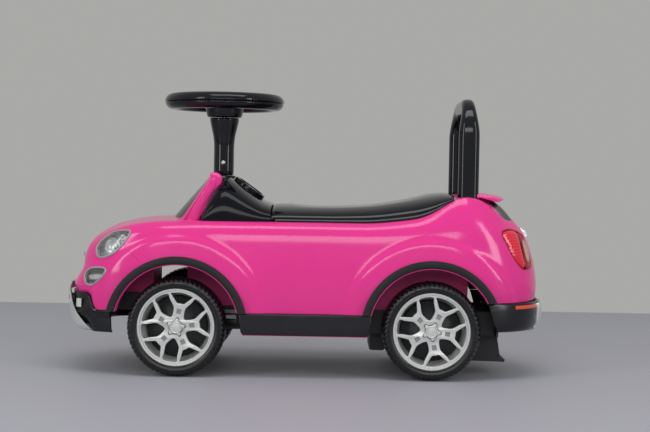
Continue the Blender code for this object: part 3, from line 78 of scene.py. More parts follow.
# The side's section at a place on the plan line: distance inward and height in mm, from the sill up.
PROFILES = [
    (0, [(2.5, 0), (0.5, 128.6), (9, 141.6), (16, 151.2), (18.1, 167.8), (23.9, 182.2), (33.3, 191.9)]),
    (2, [(2.5, 0), (0.5, 128), (8, 141), (14, 151), (16.5, 168), (23, 183), (33, 194)]),
    (4, [(3, 0), (0.5, 125), (4, 143), (8, 156), (12, 172), (19, 188), (31, 200)]),
    (6, [(3.5, 0), (1, 122), (0.5, 148), (2.5, 172), (6.5, 192), (13, 206), (25, 214)]),
    (8, [(4, 0), (1, 122), (0, 150), (2, 180), (5, 200), (10.5, 213), (22, 221)]),
    (10, [(4, 0), (1, 122), (0, 150), (2.2, 183), (5, 205), (10.5, 216.5), (21, 223.5)]),
    (12, [(4, 0), (1, 122), (0, 150), (2.2, 185), (5, 207), (10.5, 217.5), (20, 223.5)]),
    (19, [(4, 0), (1, 122), (0, 150), (2.2, 185), (5, 207), (10.5, 218), (20, 224)]),
    (21, [(4, 0), (1, 122), (0, 150), (2.2, 186), (5, 209), (10.5, 221.5), (20, 229.5)]),
    (22, [(4, 0), (1, 122), (0, 150), (2.2, 187), (5, 211), (11, 225), (21, 234)]),
    (23, [(4, 0), (1, 122), (0, 150), (2.2, 188), (5, 213.5), (12.5, 234), (23, 250)]),
    (24, [(4, 0), (1, 125), (0, 150), (2.5, 189), (5.5, 216), (14.5, 242), (28, 264)]),
    (25, [(4, 0), (1, 127), (0, 152), (3, 189), (7, 216), (17, 241), (31, 263)]),
    (26, [(4, 0), (1, 128), (0.5, 152), (4, 188), (9, 214), (20, 236), (34, 255)]),
    (28, [(3.5, 0), (1, 127), (1.5, 152), (6.5, 184), (16, 210), (28, 223), (37, 231)]),
    (30, [(3, 0), (0.5, 126), (2, 151), (8.5, 181), (20, 209), (30, 221), (38, 229)]),
    (32, [(3, 0), (0.5, 126), (2, 150), (8.6, 179), (24.5, 215), (34, 224), (39.5, 229)])]

# The lower edge's height by place, and the middle line's height by X, in mm.
SILL = [(0, 117), (4, 117.5), (4.25, 115), (4.5, 109), (4.85, 93.3), (25.4, 93.3), (25.5, 113.2), (32, 113.2)]
CREST = [
    (-320, 186), (-311, 192), (-298, 203.9), (-282, 213.7), (-265, 219.5), (-253, 223), (-228.5, 226.5),
    (-198, 227.5), (-185, 226.5), (-172, 224), (-160, 223.5), (100, 223.5), (125, 226), (150, 230),
    (172, 236), (185, 242), (195, 250), (207, 262), (215, 266.3), (222, 267.6), (250, 267.6), (266, 265.5),
    (280, 260.5), (288, 255.5), (300, 243), (310.5, 229), (315, 225)]


# Small helpers

def table(rows, x):
    if x <= rows[0][0]:
        return rows[0][1]
    for (x0, v0), (x1, v1) in zip(rows, rows[1:]):
        if x <= x1:
            return v0 + (v1 - v0) * (x - x0) / (x1 - x0)
    return rows[-1][1]


def soft_table(rows, x, reach):
    """The table's value averaged over a short stretch, so that its corners are rounded."""
    steps = 7
    return sum(table(rows, x + reach * (2 * i / (steps - 1) - 1)) for i in range(steps)) / steps


def smooth(low, high, value):
    t = min(1.0, max(0.0, (value - low) / (high - low)))
    return t * t * (3 - 2 * t)


def search(low, high, below):
    """Halve the stretch until it is tight round the place where below turns false."""
    for _ in range(30):
        middle = (low + high) / 2
        if below(middle):
            low = middle
        else:
            high = middle
    return low, high


def spread(low, high, count):
    return [low + (high - low) * i / count for i in range(count + 1)]


def span(sign, a, b):
    """Two distances from the middle as places across the car, the lower one first."""
    return sorted((sign * a, sign * b))


def rect(u0, v0, u1, v1):
    return [(u0, v0), (u1, v0), (u1, v1), (u0, v1)]


def polar(r, angle, u=0.0, v=0.0):
    return (u + r * math.cos(angle), v + r * math.sin(angle))


def quads(lines, size, loop=False, ring=False, order=(0, 1, 2, 3), base=0):
    """Faces between lines of points. A loop joins the last line to the first, a ring each line's ends."""
    faces = []
    for i in range(lines if loop else lines - 1):
        n = (i + 1) % lines
        for j in range(size if ring else size - 1):
            k = (j + 1) % size
            corners = (i * size + j, i * size + k, n * size + k, n * size + j)
            faces.append(tuple(base + corners[o] for o in order))
    return faces


def ends(count, size):
    """The faces that close the first and the last ring of a tube with this many points."""
    return [tuple(range(size)), tuple(range(count - size, count))]


def tube(name, verts, size, **finish):
    """A closed tube made of rings with this many points."""
    faces = quads(len(verts) // size, size, ring=True) + ends(len(verts), size)
    return mesh_piece(name, verts, faces, **finish)


def placed(name, data):
    obj = bpy.data.objects.new(name, data)
    bpy.context.scene.collection.objects.link(obj)
    return obj


def raw_mesh(name, verts, faces):
    data = bpy.data.meshes.new(name)
    data.from_pydata([Vector(v) for v in verts], [], faces)
    data.update()
    return placed(name, data)


def mesh_piece(name, verts, faces, **finish):
    return finish_piece(raw_mesh(name, verts, faces), **finish)


def finish_piece(obj, paint=None, shade=35.0, node=None, slot=None, body="car"):
    """Shading, and for a painted piece its body and the node it stands for. The slot argument is not used."""
    if paint:
        obj.data.materials.clear()
        obj.data.materials.append(paint)
    if shade is not None:
        soften(obj, shade)
    if paint:
        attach(obj, body)
    if node:
        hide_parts(node)
    return obj


def soften(obj, degrees, recalc=True):
    """Smooth shading with the edges over this angle kept sharp."""
    limit = math.radians(degrees)
    shape = bmesh.new()
    shape.from_mesh(obj.data)
    if recalc:
        bmesh.ops.recalc_face_normals(shape, faces=shape.faces)
    for face in shape.faces:
        face.smooth = True
    for edge in shape.edges:
        edge.smooth = len(edge.link_faces) == 2 and edge.calc_face_angle(0) < limit
    shape.to_mesh(obj.data)
    shape.free()


def clean(obj, merge=0.0, dissolve=0.0, recalc=True, facing=None):
    """Merge close points and turn the faces outward: facing says how far a face looks the right way."""
    shape = bmesh.new()
    shape.from_mesh(obj.data)
    if merge:
        bmesh.ops.remove_doubles(shape, verts=shape.verts, dist=merge)
    if dissolve:
        bmesh.ops.dissolve_degenerate(shape, edges=shape.edges, dist=dissolve)
    if recalc:
        bmesh.ops.recalc_face_normals(shape, faces=shape.faces)
    if facing and sum(facing(face) for face in shape.faces) < 0:
        bmesh.ops.reverse_faces(shape, faces=shape.faces)
    shape.to_mesh(obj.data)
    shape.free()
    return obj


def settle(obj):
    """Apply the modifiers of one of this script's own pieces."""
    bpy.context.view_layer.update()
    graph = bpy.context.evaluated_depsgraph_get()
    data = bpy.data.meshes.new_from_object(obj.evaluated_get(graph))
    obj.modifiers.clear()
    obj.data = data
    return obj


def drop(obj):
    bpy.data.objects.remove(obj, do_unlink=True)


def cut(obj, tool, operation="DIFFERENCE"):
    step = obj.modifiers.new("cut", "BOOLEAN")
    step.operation = operation
    step.solver = "EXACT"
    step.object = tool
    settle(obj)
    drop(tool)
    return obj


def thicken(obj, inside, even=True):
    step = obj.modifiers.new("wall", "SOLIDIFY")
    step.thickness = inside
    step.offset = -1.0
    step.use_even_offset = even
    return settle(obj)


def rounded(obj, width, segments, angle):
    step = obj.modifiers.new("round", "BEVEL")
    step.width = width
    step.segments = segments
    step.limit_method = "ANGLE"
    step.angle_limit = math.radians(angle)
    step.harden_normals = False
    return settle(obj)


def prism(name, points, low, high, axis="y", holes=(), round_by=0.0, **finish):
    """A flat outline given depth along an axis, with rounded rims."""
    curve = bpy.data.curves.new(name, "CURVE")
    curve.dimensions = "2D"
    curve.fill_mode = "BOTH"
    for ring_points in (points, *holes):
        line = curve.splines.new("POLY")
        line.points.add(len(ring_points) - 1)
        for point, (u, v) in zip(line.points, ring_points):
            point.co = (u, v, 0.0, 1.0)
        line.use_cyclic_u = True
    curve.extrude = (high - low) / 2 - round_by
    if round_by:
        curve.bevel_depth = round_by
        curve.bevel_resolution = 2
        curve.offset = -round_by
    flat = placed(name, curve)
    bpy.context.view_layer.update()
    data = bpy.data.meshes.new_from_object(flat.evaluated_get(bpy.context.evaluated_depsgraph_get()))
    drop(flat)
    middle = (low + high) / 2
    for vert in data.vertices:
        u, v, w = vert.co
        vert.co = {"x": (middle + w, u, v), "y": (u, middle - w, v), "z": (u, v, middle + w)}[axis]
    return finish_piece(clean(placed(name, data), 2 * NEAR), **finish)


def tool(points, low, high, axis="y"):
    return prism("tool", points, low, high, axis, shade=None)


def lathe(name, profile, axis, centre, count=64, facing=1, closed=False, **finish):
    """A profile of (radius, height) turned round an axis through centre."""
    verts = []
    for i in range(count):
        a = FULL_TURN * i / count
        for r, h in profile:
            u, v, w = r * math.cos(a), r * math.sin(a), h * facing
            at = {"x": (w, u, v), "y": (u, w, v), "z": (u, v, w)}[axis]
            verts.append([c + d for c, d in zip(centre, at)])
    obj = raw_mesh(name, verts, quads(count, len(profile), loop=True, ring=closed))
    return finish_piece(clean(obj, NEAR, NEAR), **finish)


def bore(radius, low, high, wide=None):
    """Profile of a solid round tool, for lathe."""
    return [(0.0, low), (radius, low), (wide or radius, high), (0.0, high)]


def sweep(name, path, radius, closed=False, flat=1.0, sides=10, **finish):
    """A round bead along a path, made of rings of points."""
    path = [Vector(p) for p in path]
    count = len(path)
    verts = []
    side = None
    for i, point in enumerate(path):
        before = path[i - 1] if (closed or i) else point
        after = path[(i + 1) % count] if (closed or i < count - 1) else point
        way = (after - before).normalized()
        if side is None:
            side = way.orthogonal().normalized()
        side = (side - way * side.dot(way)).normalized()
        other = way.cross(side)
        for j in range(sides):
            a = FULL_TURN * j / sides
            verts.append(point + side * radius * math.cos(a) + other * radius * flat * math.sin(a))
    faces = quads(count, sides, loop=closed, ring=True)
    if not closed:
        faces += ends(len(verts), sides)
    return mesh_piece(name, verts, faces, shade=50, **finish)


def spline(points, per, closed=False):
    """Points on a smooth curve through the given ones, which lie in a plane."""
    points = [Vector((u, v, 0)) for u, v in points]
    count = len(points)
    out = []
    for i in range(count if closed else count - 1):
        p1, p2 = points[i], points[(i + 1) % count]
        p0 = points[i - 1] if (closed or i) else p1 * 2 - p2
        p3 = points[(i + 2) % count] if (closed or i + 2 < count) else p2 * 2 - p1
        d1 = max((p2 - p1).length, 1e-9)
        m1 = (p2 - p0) * (d1 / max((p2 - p1).length + (p1 - p0).length, 1e-9))
        m2 = (p3 - p1) * (d1 / max((p3 - p2).length + (p2 - p1).length, 1e-9))
        for k in range(per):
            t = k / per
            t2, t3 = t * t, t * t * t
            out.append(p1 * (2 * t3 - 3 * t2 + 1) + m1 * (t3 - 2 * t2 + t) + p2 * (3 * t2 - 2 * t3)
                       + m2 * (t3 - t2))
    if not closed:
        out.append(points[-1])
    return out


def rounded_outline(points, per=6):
    return [(p.x, p.y) for p in spline(points, per, True)]


def shrink(outline, by):
    """An outline drawn in by a distance along its own corners."""
    points = [Vector(p) for p in outline]
    count = len(points)
    area = sum(a.x * b.y - b.x * a.y for a, b in zip(points, points[1:] + points[:1]))
    turn = 1 if area > 0 else -1
    out = []
    for i in range(count):
        way = (points[(i + 1) % count] - points[i - 1]).normalized()
        out.append(points[i] + Vector((-way.y, way.x)) * by * turn)
    return [(p.x, p.y) for p in out]


# Materials

def look(name, colour, rough, metal=0.0, vary=0.06, grain=0.0, grain_size=900.0, coat=0.0, wave=0.0,
         scratches=0.0, dust=0.0, specular=0.5, spread=0.05, see=0.0, ior=1.47):
    """Moulded plastic or metal: slow colour drift, moulded grain, fine wipe marks and settled dust."""
    made = bpy.data.materials.new(name)
    made.use_nodes = True
    nodes, links = made.node_tree.nodes, made.node_tree.links
    shader = nodes["Principled BSDF"]
    for socket, value in (("Metallic", metal), ("Coat Weight", coat), ("Coat Roughness", 0.06),
                          ("Specular IOR Level", specular), ("IOR", ior), ("Transmission Weight", see)):
        shader.inputs[socket].default_value = value
    place = nodes.new("ShaderNodeTexCoord")

    def noise(scale, detail, where=None):
        texture = nodes.new("ShaderNodeTexNoise")
        texture.inputs["Scale"].default_value = scale
        texture.inputs["Detail"].default_value = detail
        links.new(where or place.outputs["Object"], texture.inputs["Vector"])
        return texture.outputs["Fac"]

    def ranged(value, *limits):
        step = nodes.new("ShaderNodeMapRange")
        for socket, limit in zip(("From Min", "From Max", "To Min", "To Max"), limits):
            step.inputs[socket].default_value = limit
        links.new(value, step.inputs["Value"])
        return step.outputs["Result"]

    def joined(operation, first, second):
        step = nodes.new("ShaderNodeMath")
        step.operation = operation
        step.use_clamp = operation == "ADD"
        links.new(first, step.inputs[0])
        links.new(second, step.inputs[1])
        return step.outputs["Value"]

    tint = nodes.new("ShaderNodeValToRGB")
    low, high = tint.color_ramp.elements
    low.position, high.position = 0.3, 0.7
    low.color = (*[max(0.0, c * (1 - vary)) for c in colour], 1.0)
    high.color = (*[min(1.0, c * (1 + vary)) for c in colour], 1.0)
    links.new(noise(14.0, 4.0), tint.inputs["Fac"])
    colour_out = tint.outputs["Color"]
    if dust:
        # dust lies on what faces up and gathers unevenly
        shape = nodes.new("ShaderNodeNewGeometry")
        parts = nodes.new("ShaderNodeSeparateXYZ")
        links.new(shape.outputs["Normal"], parts.inputs["Vector"])
        fall = joined("MULTIPLY", parts.outputs["Z"], noise(260.0, 6.0))
        mix = nodes.new("ShaderNodeMixRGB")
        mix.inputs["Color2"].default_value = (0.42, 0.40, 0.38, 1.0)
        links.new(ranged(fall, 0.35, 0.75, 0.0, dust), mix.inputs["Fac"])
        links.new(colour_out, mix.inputs["Color1"])
        colour_out = mix.outputs["Color"]
    links.new(colour_out, shader.inputs["Base Color"])

    rough_out = ranged(noise(46.0, 7.0), 0.3, 0.7, max(0.02, rough - spread), min(1.0, rough + spread))
    if scratches:
        # long fine wipe marks, seen only in the gloss
        stretch = nodes.new("ShaderNodeMapping")
        stretch.inputs["Rotation"].default_value = (0.3, 0.2, 0.5)
        stretch.inputs["Scale"].default_value = (60.0, 60.0, 1400.0)
        links.new(place.outputs["Object"], stretch.inputs["Vector"])
        marks = noise(1.0, 3.0, stretch.outputs["Vector"])
        rough_out = joined("ADD", rough_out, ranged(marks, 0.60, 0.75, 0.0, scratches))
    links.new(rough_out, shader.inputs["Roughness"])

    normal = None
    for size, strength, detail, depth in ((grain_size, grain, 3.0, 0.0002), (34.0, wave, 1.0, 0.001)):
        if not strength:
            continue
        bump = nodes.new("ShaderNodeBump")
        bump.inputs["Strength"].default_value = strength
        bump.inputs["Distance"].default_value = depth
        links.new(noise(size, detail), bump.inputs["Height"])
        if normal:
            links.new(normal, bump.inputs["Normal"])
        normal = bump.outputs["Normal"]
    if normal:
        links.new(normal, shader.inputs["Normal"])
    return made


PINK = look("pink_gloss", (0.79, 0.034, 0.275), 0.13, vary=0.02, grain=0.02, grain_size=1500, scratches=0.05,
            dust=0.02, spread=0.02)
PINK_INNER = look("pink_satin", (0.62, 0.020, 0.180), 0.45, vary=0.05, grain=0.15, wave=0.05, dust=0.05)
BLACK_FINISH = dict(vary=0.10, grain=0.02, grain_size=1500, wave=0.012, scratches=0.08, dust=0.004)
BLACK = look("black_gloss", (0.0045, 0.005, 0.008), 0.08, specular=0.42, **BLACK_FINISH)
DASH_BLACK = look("dash_gloss", (0.0045, 0.005, 0.008), 0.10, specular=0.20, **BLACK_FINISH)
MATT = look("black_grain", (0.010, 0.011, 0.013), 0.50, vary=0.12, grain=0.45, grain_size=1300, dust=0.02)
TRIM = look("trim_grain", (0.012, 0.013, 0.014), 0.52, vary=0.10, grain=0.50, grain_size=1500, dust=0.02,
            specular=0.3)
BUMPER = look("bumper_black", (0.0060, 0.0065, 0.009), 0.22, vary=0.10, grain=0.15, grain_size=1400,
              dust=0.01, scratches=0.08)
TYRE = look("tyre_black", (0.0055, 0.006, 0.0075), 0.30, vary=0.18, grain=0.30, dust=0.02, scratches=0.10)
SILVER = look("silver_lacquer", (0.62, 0.63, 0.62), 0.30, metal=0.35, vary=0.04, grain=0.20, grain_size=2600,
              dust=0.03)
# darker silver: painted shade for the spoke pockets and the middle boss, which stand back in the wheel
SILVER_PAINTED_SHADE = look("silver_painted_shade", (0.28, 0.29, 0.29), 0.42, metal=0.35, grain=0.25, grain_size=2600,
                   dust=0.05)
CHROME = look("chrome_plate", (0.82, 0.83, 0.85), 0.10, metal=1.0, vary=0.03, grain=0.02, wave=0.04,
              scratches=0.10)
PLATE = look("silver_plate", (0.74, 0.75, 0.75), 0.26, metal=0.55, vary=0.03, grain=0.03, scratches=0.05)
STEEL = look("zinc_steel", (0.50, 0.50, 0.51), 0.32, metal=1.0, vary=0.10, grain=0.12, scratches=0.18)
GREY = look("button_grey", (0.16, 0.16, 0.17), 0.35, grain=0.25, grain_size=1500)
LAMP = look("lamp_silver", (0.80, 0.81, 0.81), 0.24, metal=0.45, vary=0.05, grain=0.05, wave=0.08)
LAMP_DARK = look("lamp_shade", (0.34, 0.35, 0.35), 0.3, metal=0.3, vary=0.08, grain=0.15)
BEZEL = look("bezel_grey", (0.36, 0.36, 0.365), 0.30, metal=0.25, vary=0.05, grain=0.15)
CLEAR = look("lens_clear", (0.98, 0.99, 0.99), 0.04, vary=0.01, wave=0.06, see=1.0, spread=0.02, ior=1.44)
SMOKE = look("smoked_panel", (0.010, 0.011, 0.013), 0.14, vary=0.08, wave=0.03, scratches=0.06, dust=0.01)
RED = look("lens_red", (0.80, 0.014, 0.050), 0.10, vary=0.05, wave=0.05, coat=0.3, spread=0.03)
RED_DARK = look("lens_dark_red", (0.34, 0.006, 0.022), 0.14, vary=0.05, wave=0.05, coat=0.3, spread=0.03)
ORANGE = look("lens_orange", (0.78, 0.085, 0.030), 0.18, vary=0.05, grain=0.10, grain_size=700, coat=0.4)
AMBER = look("lens_amber", (0.72, 0.36, 0.16), 0.15, vary=0.05, wave=0.05)
PALE = look("lens_pale", (0.62, 0.66, 0.58), 0.16, vary=0.05, wave=0.10, coat=0.5)

# material and slot of the pieces that share both
BODY_PINK = dict(paint=PINK, slot="body_pink")
GLOSS = dict(paint=BLACK, slot="gloss_black")
MATT_BLACK = dict(paint=MATT, slot="matt_black")
BUMPER_BLACK = dict(paint=BUMPER, slot="matt_black")
SMOKED = dict(paint=SMOKE, slot="smoked")
SILVERED = dict(paint=SILVER, slot="silver")
LAMP_SILVER = dict(paint=LAMP, slot="silver")
LENS = dict(paint=CLEAR, slot="clear_lens")
DARK_RED = dict(paint=RED_DARK, slot="lamp_red")
LAMP_GREY = dict(paint=BEZEL, slot="lamp_grey")


# The body's skin

def plan_point(s):
    count = len(PLAN)
    i = min(int(s), count - 2)
    t = s - i

    def fetch(k):
        if 0 <= k < count:
            return PLAN[k]
        x, y, c = PLAN[-k if k < 0 else 2 * count - 2 - k]
        return (x, -y, c)

    out = []
    for a, b, c, d in zip(*[fetch(i + k) for k in (-1, 0, 1, 2)]):
        out.append(0.5 * (2 * b + (c - a) * t + (2 * a - 5 * b + 4 * c - d) * t * t
                          + (3 * b - a - 3 * c + d) * t ** 3) / 1000)
    return out


def plan_way(s):
    """A place on the plan line, the length of its section and the section's direction inward."""
    x, y, spine = plan_point(s)
    length = math.hypot(spine - x, y)
    return x, y, length, (spine - x) / length, -y / length


def raw_profile(s):
    s = min(LAST_PLACE, max(0.0, s))
    for (s0, low), (s1, high) in zip(PROFILES, PROFILES[1:]):
        if s <= s1:
            t = (s - s0) / (s1 - s0)
            return [(a[0] + (b[0] - a[0]) * t, a[1] + (b[1] - a[1]) * t) for a, b in zip(low, high)]


def side_profile(s):
    """The section averaged over a short stretch of the plan line, which goes on mirrored at its ends."""
    picks = []
    for k in (-2, -1, 0, 1, 2):
        off = 0.6 * k / 2
        picks.append(raw_profile(abs(s + off) if s + off < LAST_PLACE else 2 * LAST_PLACE - s - off))
    mixed = [(sum(p[i][0] for p in picks) / 5, sum(p[i][1] for p in picks) / 5) for i in range(7)]
    mixed[0] = (mixed[0][0], soft_table(SILL, s, 0.12))
    return [(e / 1000, z / 1000) for e, z in mixed]


def flare(x, z):
    best = 0.0
    for centre in (FRONT_X, REAR_X):
        r = math.hypot(x - centre, z - AXLE_Z)
        best = max(best, 1 - smooth(CREASE_R - 0.004, CREASE_R + 0.008, r))
    return FLARE * best


def crest(x):
    return soft_table(CREST, x * 1000, 6.0) / 1000


def pick(path, count):
    """Points at even steps along a path."""
    lengths = [0.0]
    for a, b in zip(path, path[1:]):
        lengths.append(lengths[-1] + (b - a).length)
    out, j = [], 0
    for i in range(count + 1):
        at = lengths[-1] * i / count
        while j < len(lengths) - 2 and lengths[j + 1] < at:
            j += 1
        gap = lengths[j + 1] - lengths[j]
        t = (at - lengths[j]) / gap if gap else 0.0
        out.append(path[j].lerp(path[j + 1], min(1.0, t)))
    return out


def skin_section(s):
    x, y, length, ux, uy = plan_way(s)
    control = side_profile(s)
    edge, edge_z = control[-1]
    fall = crest(x + ux * edge) - edge_z
    for q in (0.10, 0.22, 0.38, 0.58, 0.8, 1.0):
        e = edge + (length - edge) * q
        control.append((e, crest(x + ux * e) - fall * (1 - q) ** 2))
    dense = spline(control, 8)
    side, top = dense[:6 * 8 + 1], dense[6 * 8:]
    points = []
    for e, z, _ in pick(side, SIDE_ROWS)[:-1] + pick(top, TOP_ROWS):
        out = e - flare(x + ux * e, z) * abs(uy)
        points.append((x + ux * out, max(0.0, y + uy * out), z))
    points[-1] = (points[-1][0], 0.0, points[-1][2])
    return points


def mirrored(sections, sides=(-1, 1)):
    """Points and faces of a sheet of sections on the sides asked for."""
    rows = len(sections[0])
    verts, faces = [], []
    for sign in sides:
        faces += quads(len(sections), rows, order=(0, 3, 2, 1) if sign < 0 else (1, 2, 3, 0), base=len(verts))
        verts += [(x, sign * y, z) for section in sections for x, y, z in section]
    return verts, faces


def skin_mesh(name):
    """Both halves of the outer skin, one vertex thick."""
    places = []
    for i in range(LAST_PLACE):
        per = 5 if 12 <= i < 19 else 7
        places += [i + k / per for k in range(per)]
    # more sections where the sill steps, and the last one
    places += [4.35, 4.65, 4.75, 4.85, 4.95, 25.4, 25.5, LAST_PLACE]
    sections = [skin_section(s) for s in sorted({round(s, 4) for s in places})]
    return clean(raw_mesh(name, *mirrored(sections)), 2 * NEAR, 2 * NEAR)


SKIN = skin_mesh("skin_guide")
SKIN_TREE = BVHTree.FromObject(SKIN, bpy.context.evaluated_depsgraph_get())


def on_skin(x, z, sign, lift=0.0):
    """The skin's point at this place of the side view, moved out along its normal."""
    hit, normal, _, _ = SKIN_TREE.ray_cast(Vector((x, sign * 0.4, z)), Vector((0, -sign, 0)))
    if hit is None:
        hit, normal, _, _ = SKIN_TREE.find_nearest(Vector((x, sign * 0.13, z)))
    if normal.dot(Vector((hit.x * 0.3, hit.y, 0.02))) < 0:
        normal = -normal
    return hit + normal * lift


def inside(point, border):
    found = False
    for a, b in zip(border, border[1:] + border[:1]):
        if (a.y > point.y) != (b.y > point.y):
            if point.x < (b.x - a.x) * (point.y - a.y) / (b.y - a.y) + a.x:
                found = not found
    return found


def edge_distance(point, border):
    best = 1.0
    for a, b in zip(border, border[1:] + border[:1]):
        line = b - a
        t = max(0.0, min(1.0, (point - a).dot(line) / max(line.length_squared, 1e-12)))
        best = min(best, (point - a - line * t).length)
    return best


def drape(name, outline, sign, lift, step, wall, **finish):
    """A lens laid over the skin inside an outline; lift takes the distance to the edge and the place."""
    border = [Vector(p) for p in outline]
    low, high = [[limit(p[i] for p in border) for i in (0, 1)] for limit in (min, max)]
    inner = []
    u = low[0] + step / 2
    while u < high[0]:
        v = low[1] + step / 2
        while v < high[1]:
            point = Vector((u, v))
            if inside(point, border) and edge_distance(point, border) > step * 0.45:
                inner.append(point)
            v += step
        u += step
    points, _, faces = delaunay_2d_cdt(border + inner, [], [list(range(len(border)))], 1, 1e-7)[:3]
    verts = [on_skin(p.x, p.y, sign, lift(edge_distance(p, border), p)) for p in points]
    obj = raw_mesh(name, verts, [tuple(f) for f in faces])
    clean(obj, facing=lambda f: f.normal.y * f.calc_area() * sign)
    soften(thicken(obj, wall, even=False), 40, recalc=False)
    return finish_piece(obj, shade=None, **finish)


HEADLIGHT = rounded_outline([
    (-0.3022, 0.1789), (-0.2987, 0.1692), (-0.2901, 0.1681), (-0.2757, 0.1737), (-0.2629, 0.1854),
    (-0.2531, 0.1986), (-0.2503, 0.2070), (-0.2561, 0.2089), (-0.2762, 0.2052), (-0.2905, 0.1963),
    (-0.2990, 0.1877)])
LOW_LAMP = rounded_outline([
    (-0.3194, 0.1389), (-0.3167, 0.1472), (-0.3088, 0.1524), (-0.2985, 0.1542), (-0.2883, 0.1539),
    (-0.2844, 0.1495), (-0.2889, 0.1413), (-0.2982, 0.1328), (-0.3076, 0.1275), (-0.3156, 0.1295)])
TAIL = rounded_outline([
    (0.2834, 0.2140), (0.2958, 0.2190), (0.3178, 0.2100), (0.3262, 0.1900), (0.3318, 0.1694),
    (0.3290, 0.1617), (0.3168, 0.1612), (0.3007, 0.1802), (0.2905, 0.1985)])
REAR_WINDOW = rounded_outline([
    (0.2702, 0.2556), (0.2770, 0.2590), (0.2900, 0.2600), (0.3100, 0.2580), (0.3180, 0.2450),
    (0.3170, 0.2330), (0.3060, 0.2308), (0.2950, 0.2314), (0.2890, 0.2345), (0.2835, 0.2392),
    (0.2765, 0.2480)], 4)
HOLE_GAP = 0.0002


def body_skin():
    body = thicken(skin_mesh("body_skin"), BODY_WALL)
    for x in (FRONT_X, REAR_X):
        cut(body, lathe("well", bore(ARCH_R, -0.2, 0.2), "y", (x, 0, AXLE_Z), 160))
    for _, sign in SIDES:
        for outline, inner in ((HEADLIGHT, 0.0900), (LOW_LAMP, 0.0700), (TAIL, 0.0780)):
            cut(body, tool(shrink(outline, HOLE_GAP), *span(sign, 0.20, inner)))
        # shut line from the headlight to the arch
        line = [on_skin(-0.2590 + 0.0245 * t, 0.1880 - 0.0245 * t, sign) for t in spread(0, 1, 12)]
        cut(body, sweep("shut_line", line, 0.0006, sides=6))
    cut(body, tool(rect(-0.0345, -0.0715, 0.1718, 0.0715), 0.19, 0.30, "z"))
    cut(body, tool(REAR_WINDOW, -0.1150, 0.1150))
    finish_piece(body, shade=32, node="body_shell", **BODY_PINK)


def rear_window():
    """A piece of the skin itself, moved in and kept inside the opening."""
    obj = skin_mesh("rear_window_panel")
    shape = bmesh.new()
    shape.from_mesh(obj.data)
    for vert, normal in [(v, v.normal.copy()) for v in shape.verts]:
        vert.co += normal * -0.0006
    shape.to_mesh(obj.data)
    shape.free()
    cut(thicken(obj, 0.0024), tool(shrink(REAR_WINDOW, HOLE_GAP), -0.1148, 0.1148), "INTERSECT")
    finish_piece(obj, node="rear_window", **SMOKED)


def screen_point(z, t, lift):
    """The bowed windshield's surface at a height, t across from -1 to 1."""
    # height, X in the middle, half width, how far the sides stand back
    rows = ((0.2170, -0.2075, 0.0830, 0.0262), (0.2600, -0.1708, 0.0795, 0.0160),
            (0.2930, -0.1415, 0.0765, 0.0070))
    out = []
    for k in (1, 2, 3):
        total = 0.0
        for row in rows:
            weight = 1.0
            for other in rows:
                if other is not row:
                    weight *= (z - other[0]) / (row[0] - other[0])
            total += weight * row[k]
        out.append(total)
    front, half, bow = out
    return (front + bow * t * t - lift * 0.82, -half * t * (1 + lift * 2), z + lift * 0.45)


def screen_sheet(name, low, high, lift, wall):
    rows, count = 24, 48
    verts = [screen_point(z, t, lift) for z in spread(low, high, rows) for t in spread(-1, 1, count)]
    obj = raw_mesh(name, verts, quads(rows + 1, count + 1))
    return thicken(clean(obj, recalc=False, facing=lambda f: -f.normal.x), wall)


def screen():
    window = rounded_outline([
        (-0.0745, 0.2290), (-0.0715, 0.2600), (-0.0670, 0.2825), (-0.0620, 0.2862), (0.0, 0.2866),
        (0.0620, 0.2862), (0.0670, 0.2825), (0.0715, 0.2600), (0.0745, 0.2290), (0.0690, 0.2262),
        (0.0, 0.2258), (-0.0690, 0.2262)], 4)
    surround = screen_sheet("screen_frame", 0.2150, 0.2925, 0.0012, 0.0070)
    cut(surround, tool(window, -0.25, -0.05, "x"))
    finish_piece(rounded(surround, 0.0013, 3, 40), shade=32, **BODY_PINK)
    glass = screen_sheet("screen_panel", 0.2165, 0.2900, 0.0000, 0.0025)
    cut(glass, tool(shrink(window, -0.0006), -0.25, -0.05, "x"), "INTERSECT")
    finish_piece(glass, shade=32, node="windshield", **SMOKED)
    pillar = rounded_outline([
        (-0.1840, 0.2110), (-0.1740, 0.2285), (-0.1570, 0.2558), (-0.1420, 0.2830), (-0.1405, 0.2915),
        (-0.1360, 0.2940), (-0.1290, 0.2930), (-0.1236, 0.2870), (-0.1246, 0.2765), (-0.1400, 0.2512),
        (-0.1555, 0.2256), (-0.1630, 0.2110)], 5)
    rib = rounded_outline([
        (-0.1740, 0.2150), (-0.1420, 0.2720), (-0.1380, 0.2850), (-0.1330, 0.2860), (-0.1316, 0.2770),
        (-0.1490, 0.2450), (-0.1650, 0.2150)], 3)
    for side, sign in SIDES:
        prism(f"pillar_{side}", pillar, *span(sign, 0.0676, 0.0806), round_by=0.0022, **BODY_PINK)
        prism(f"pillar_step_{side}", rib, *span(sign, 0.0780, 0.0818), round_by=0.0010, **BODY_PINK)


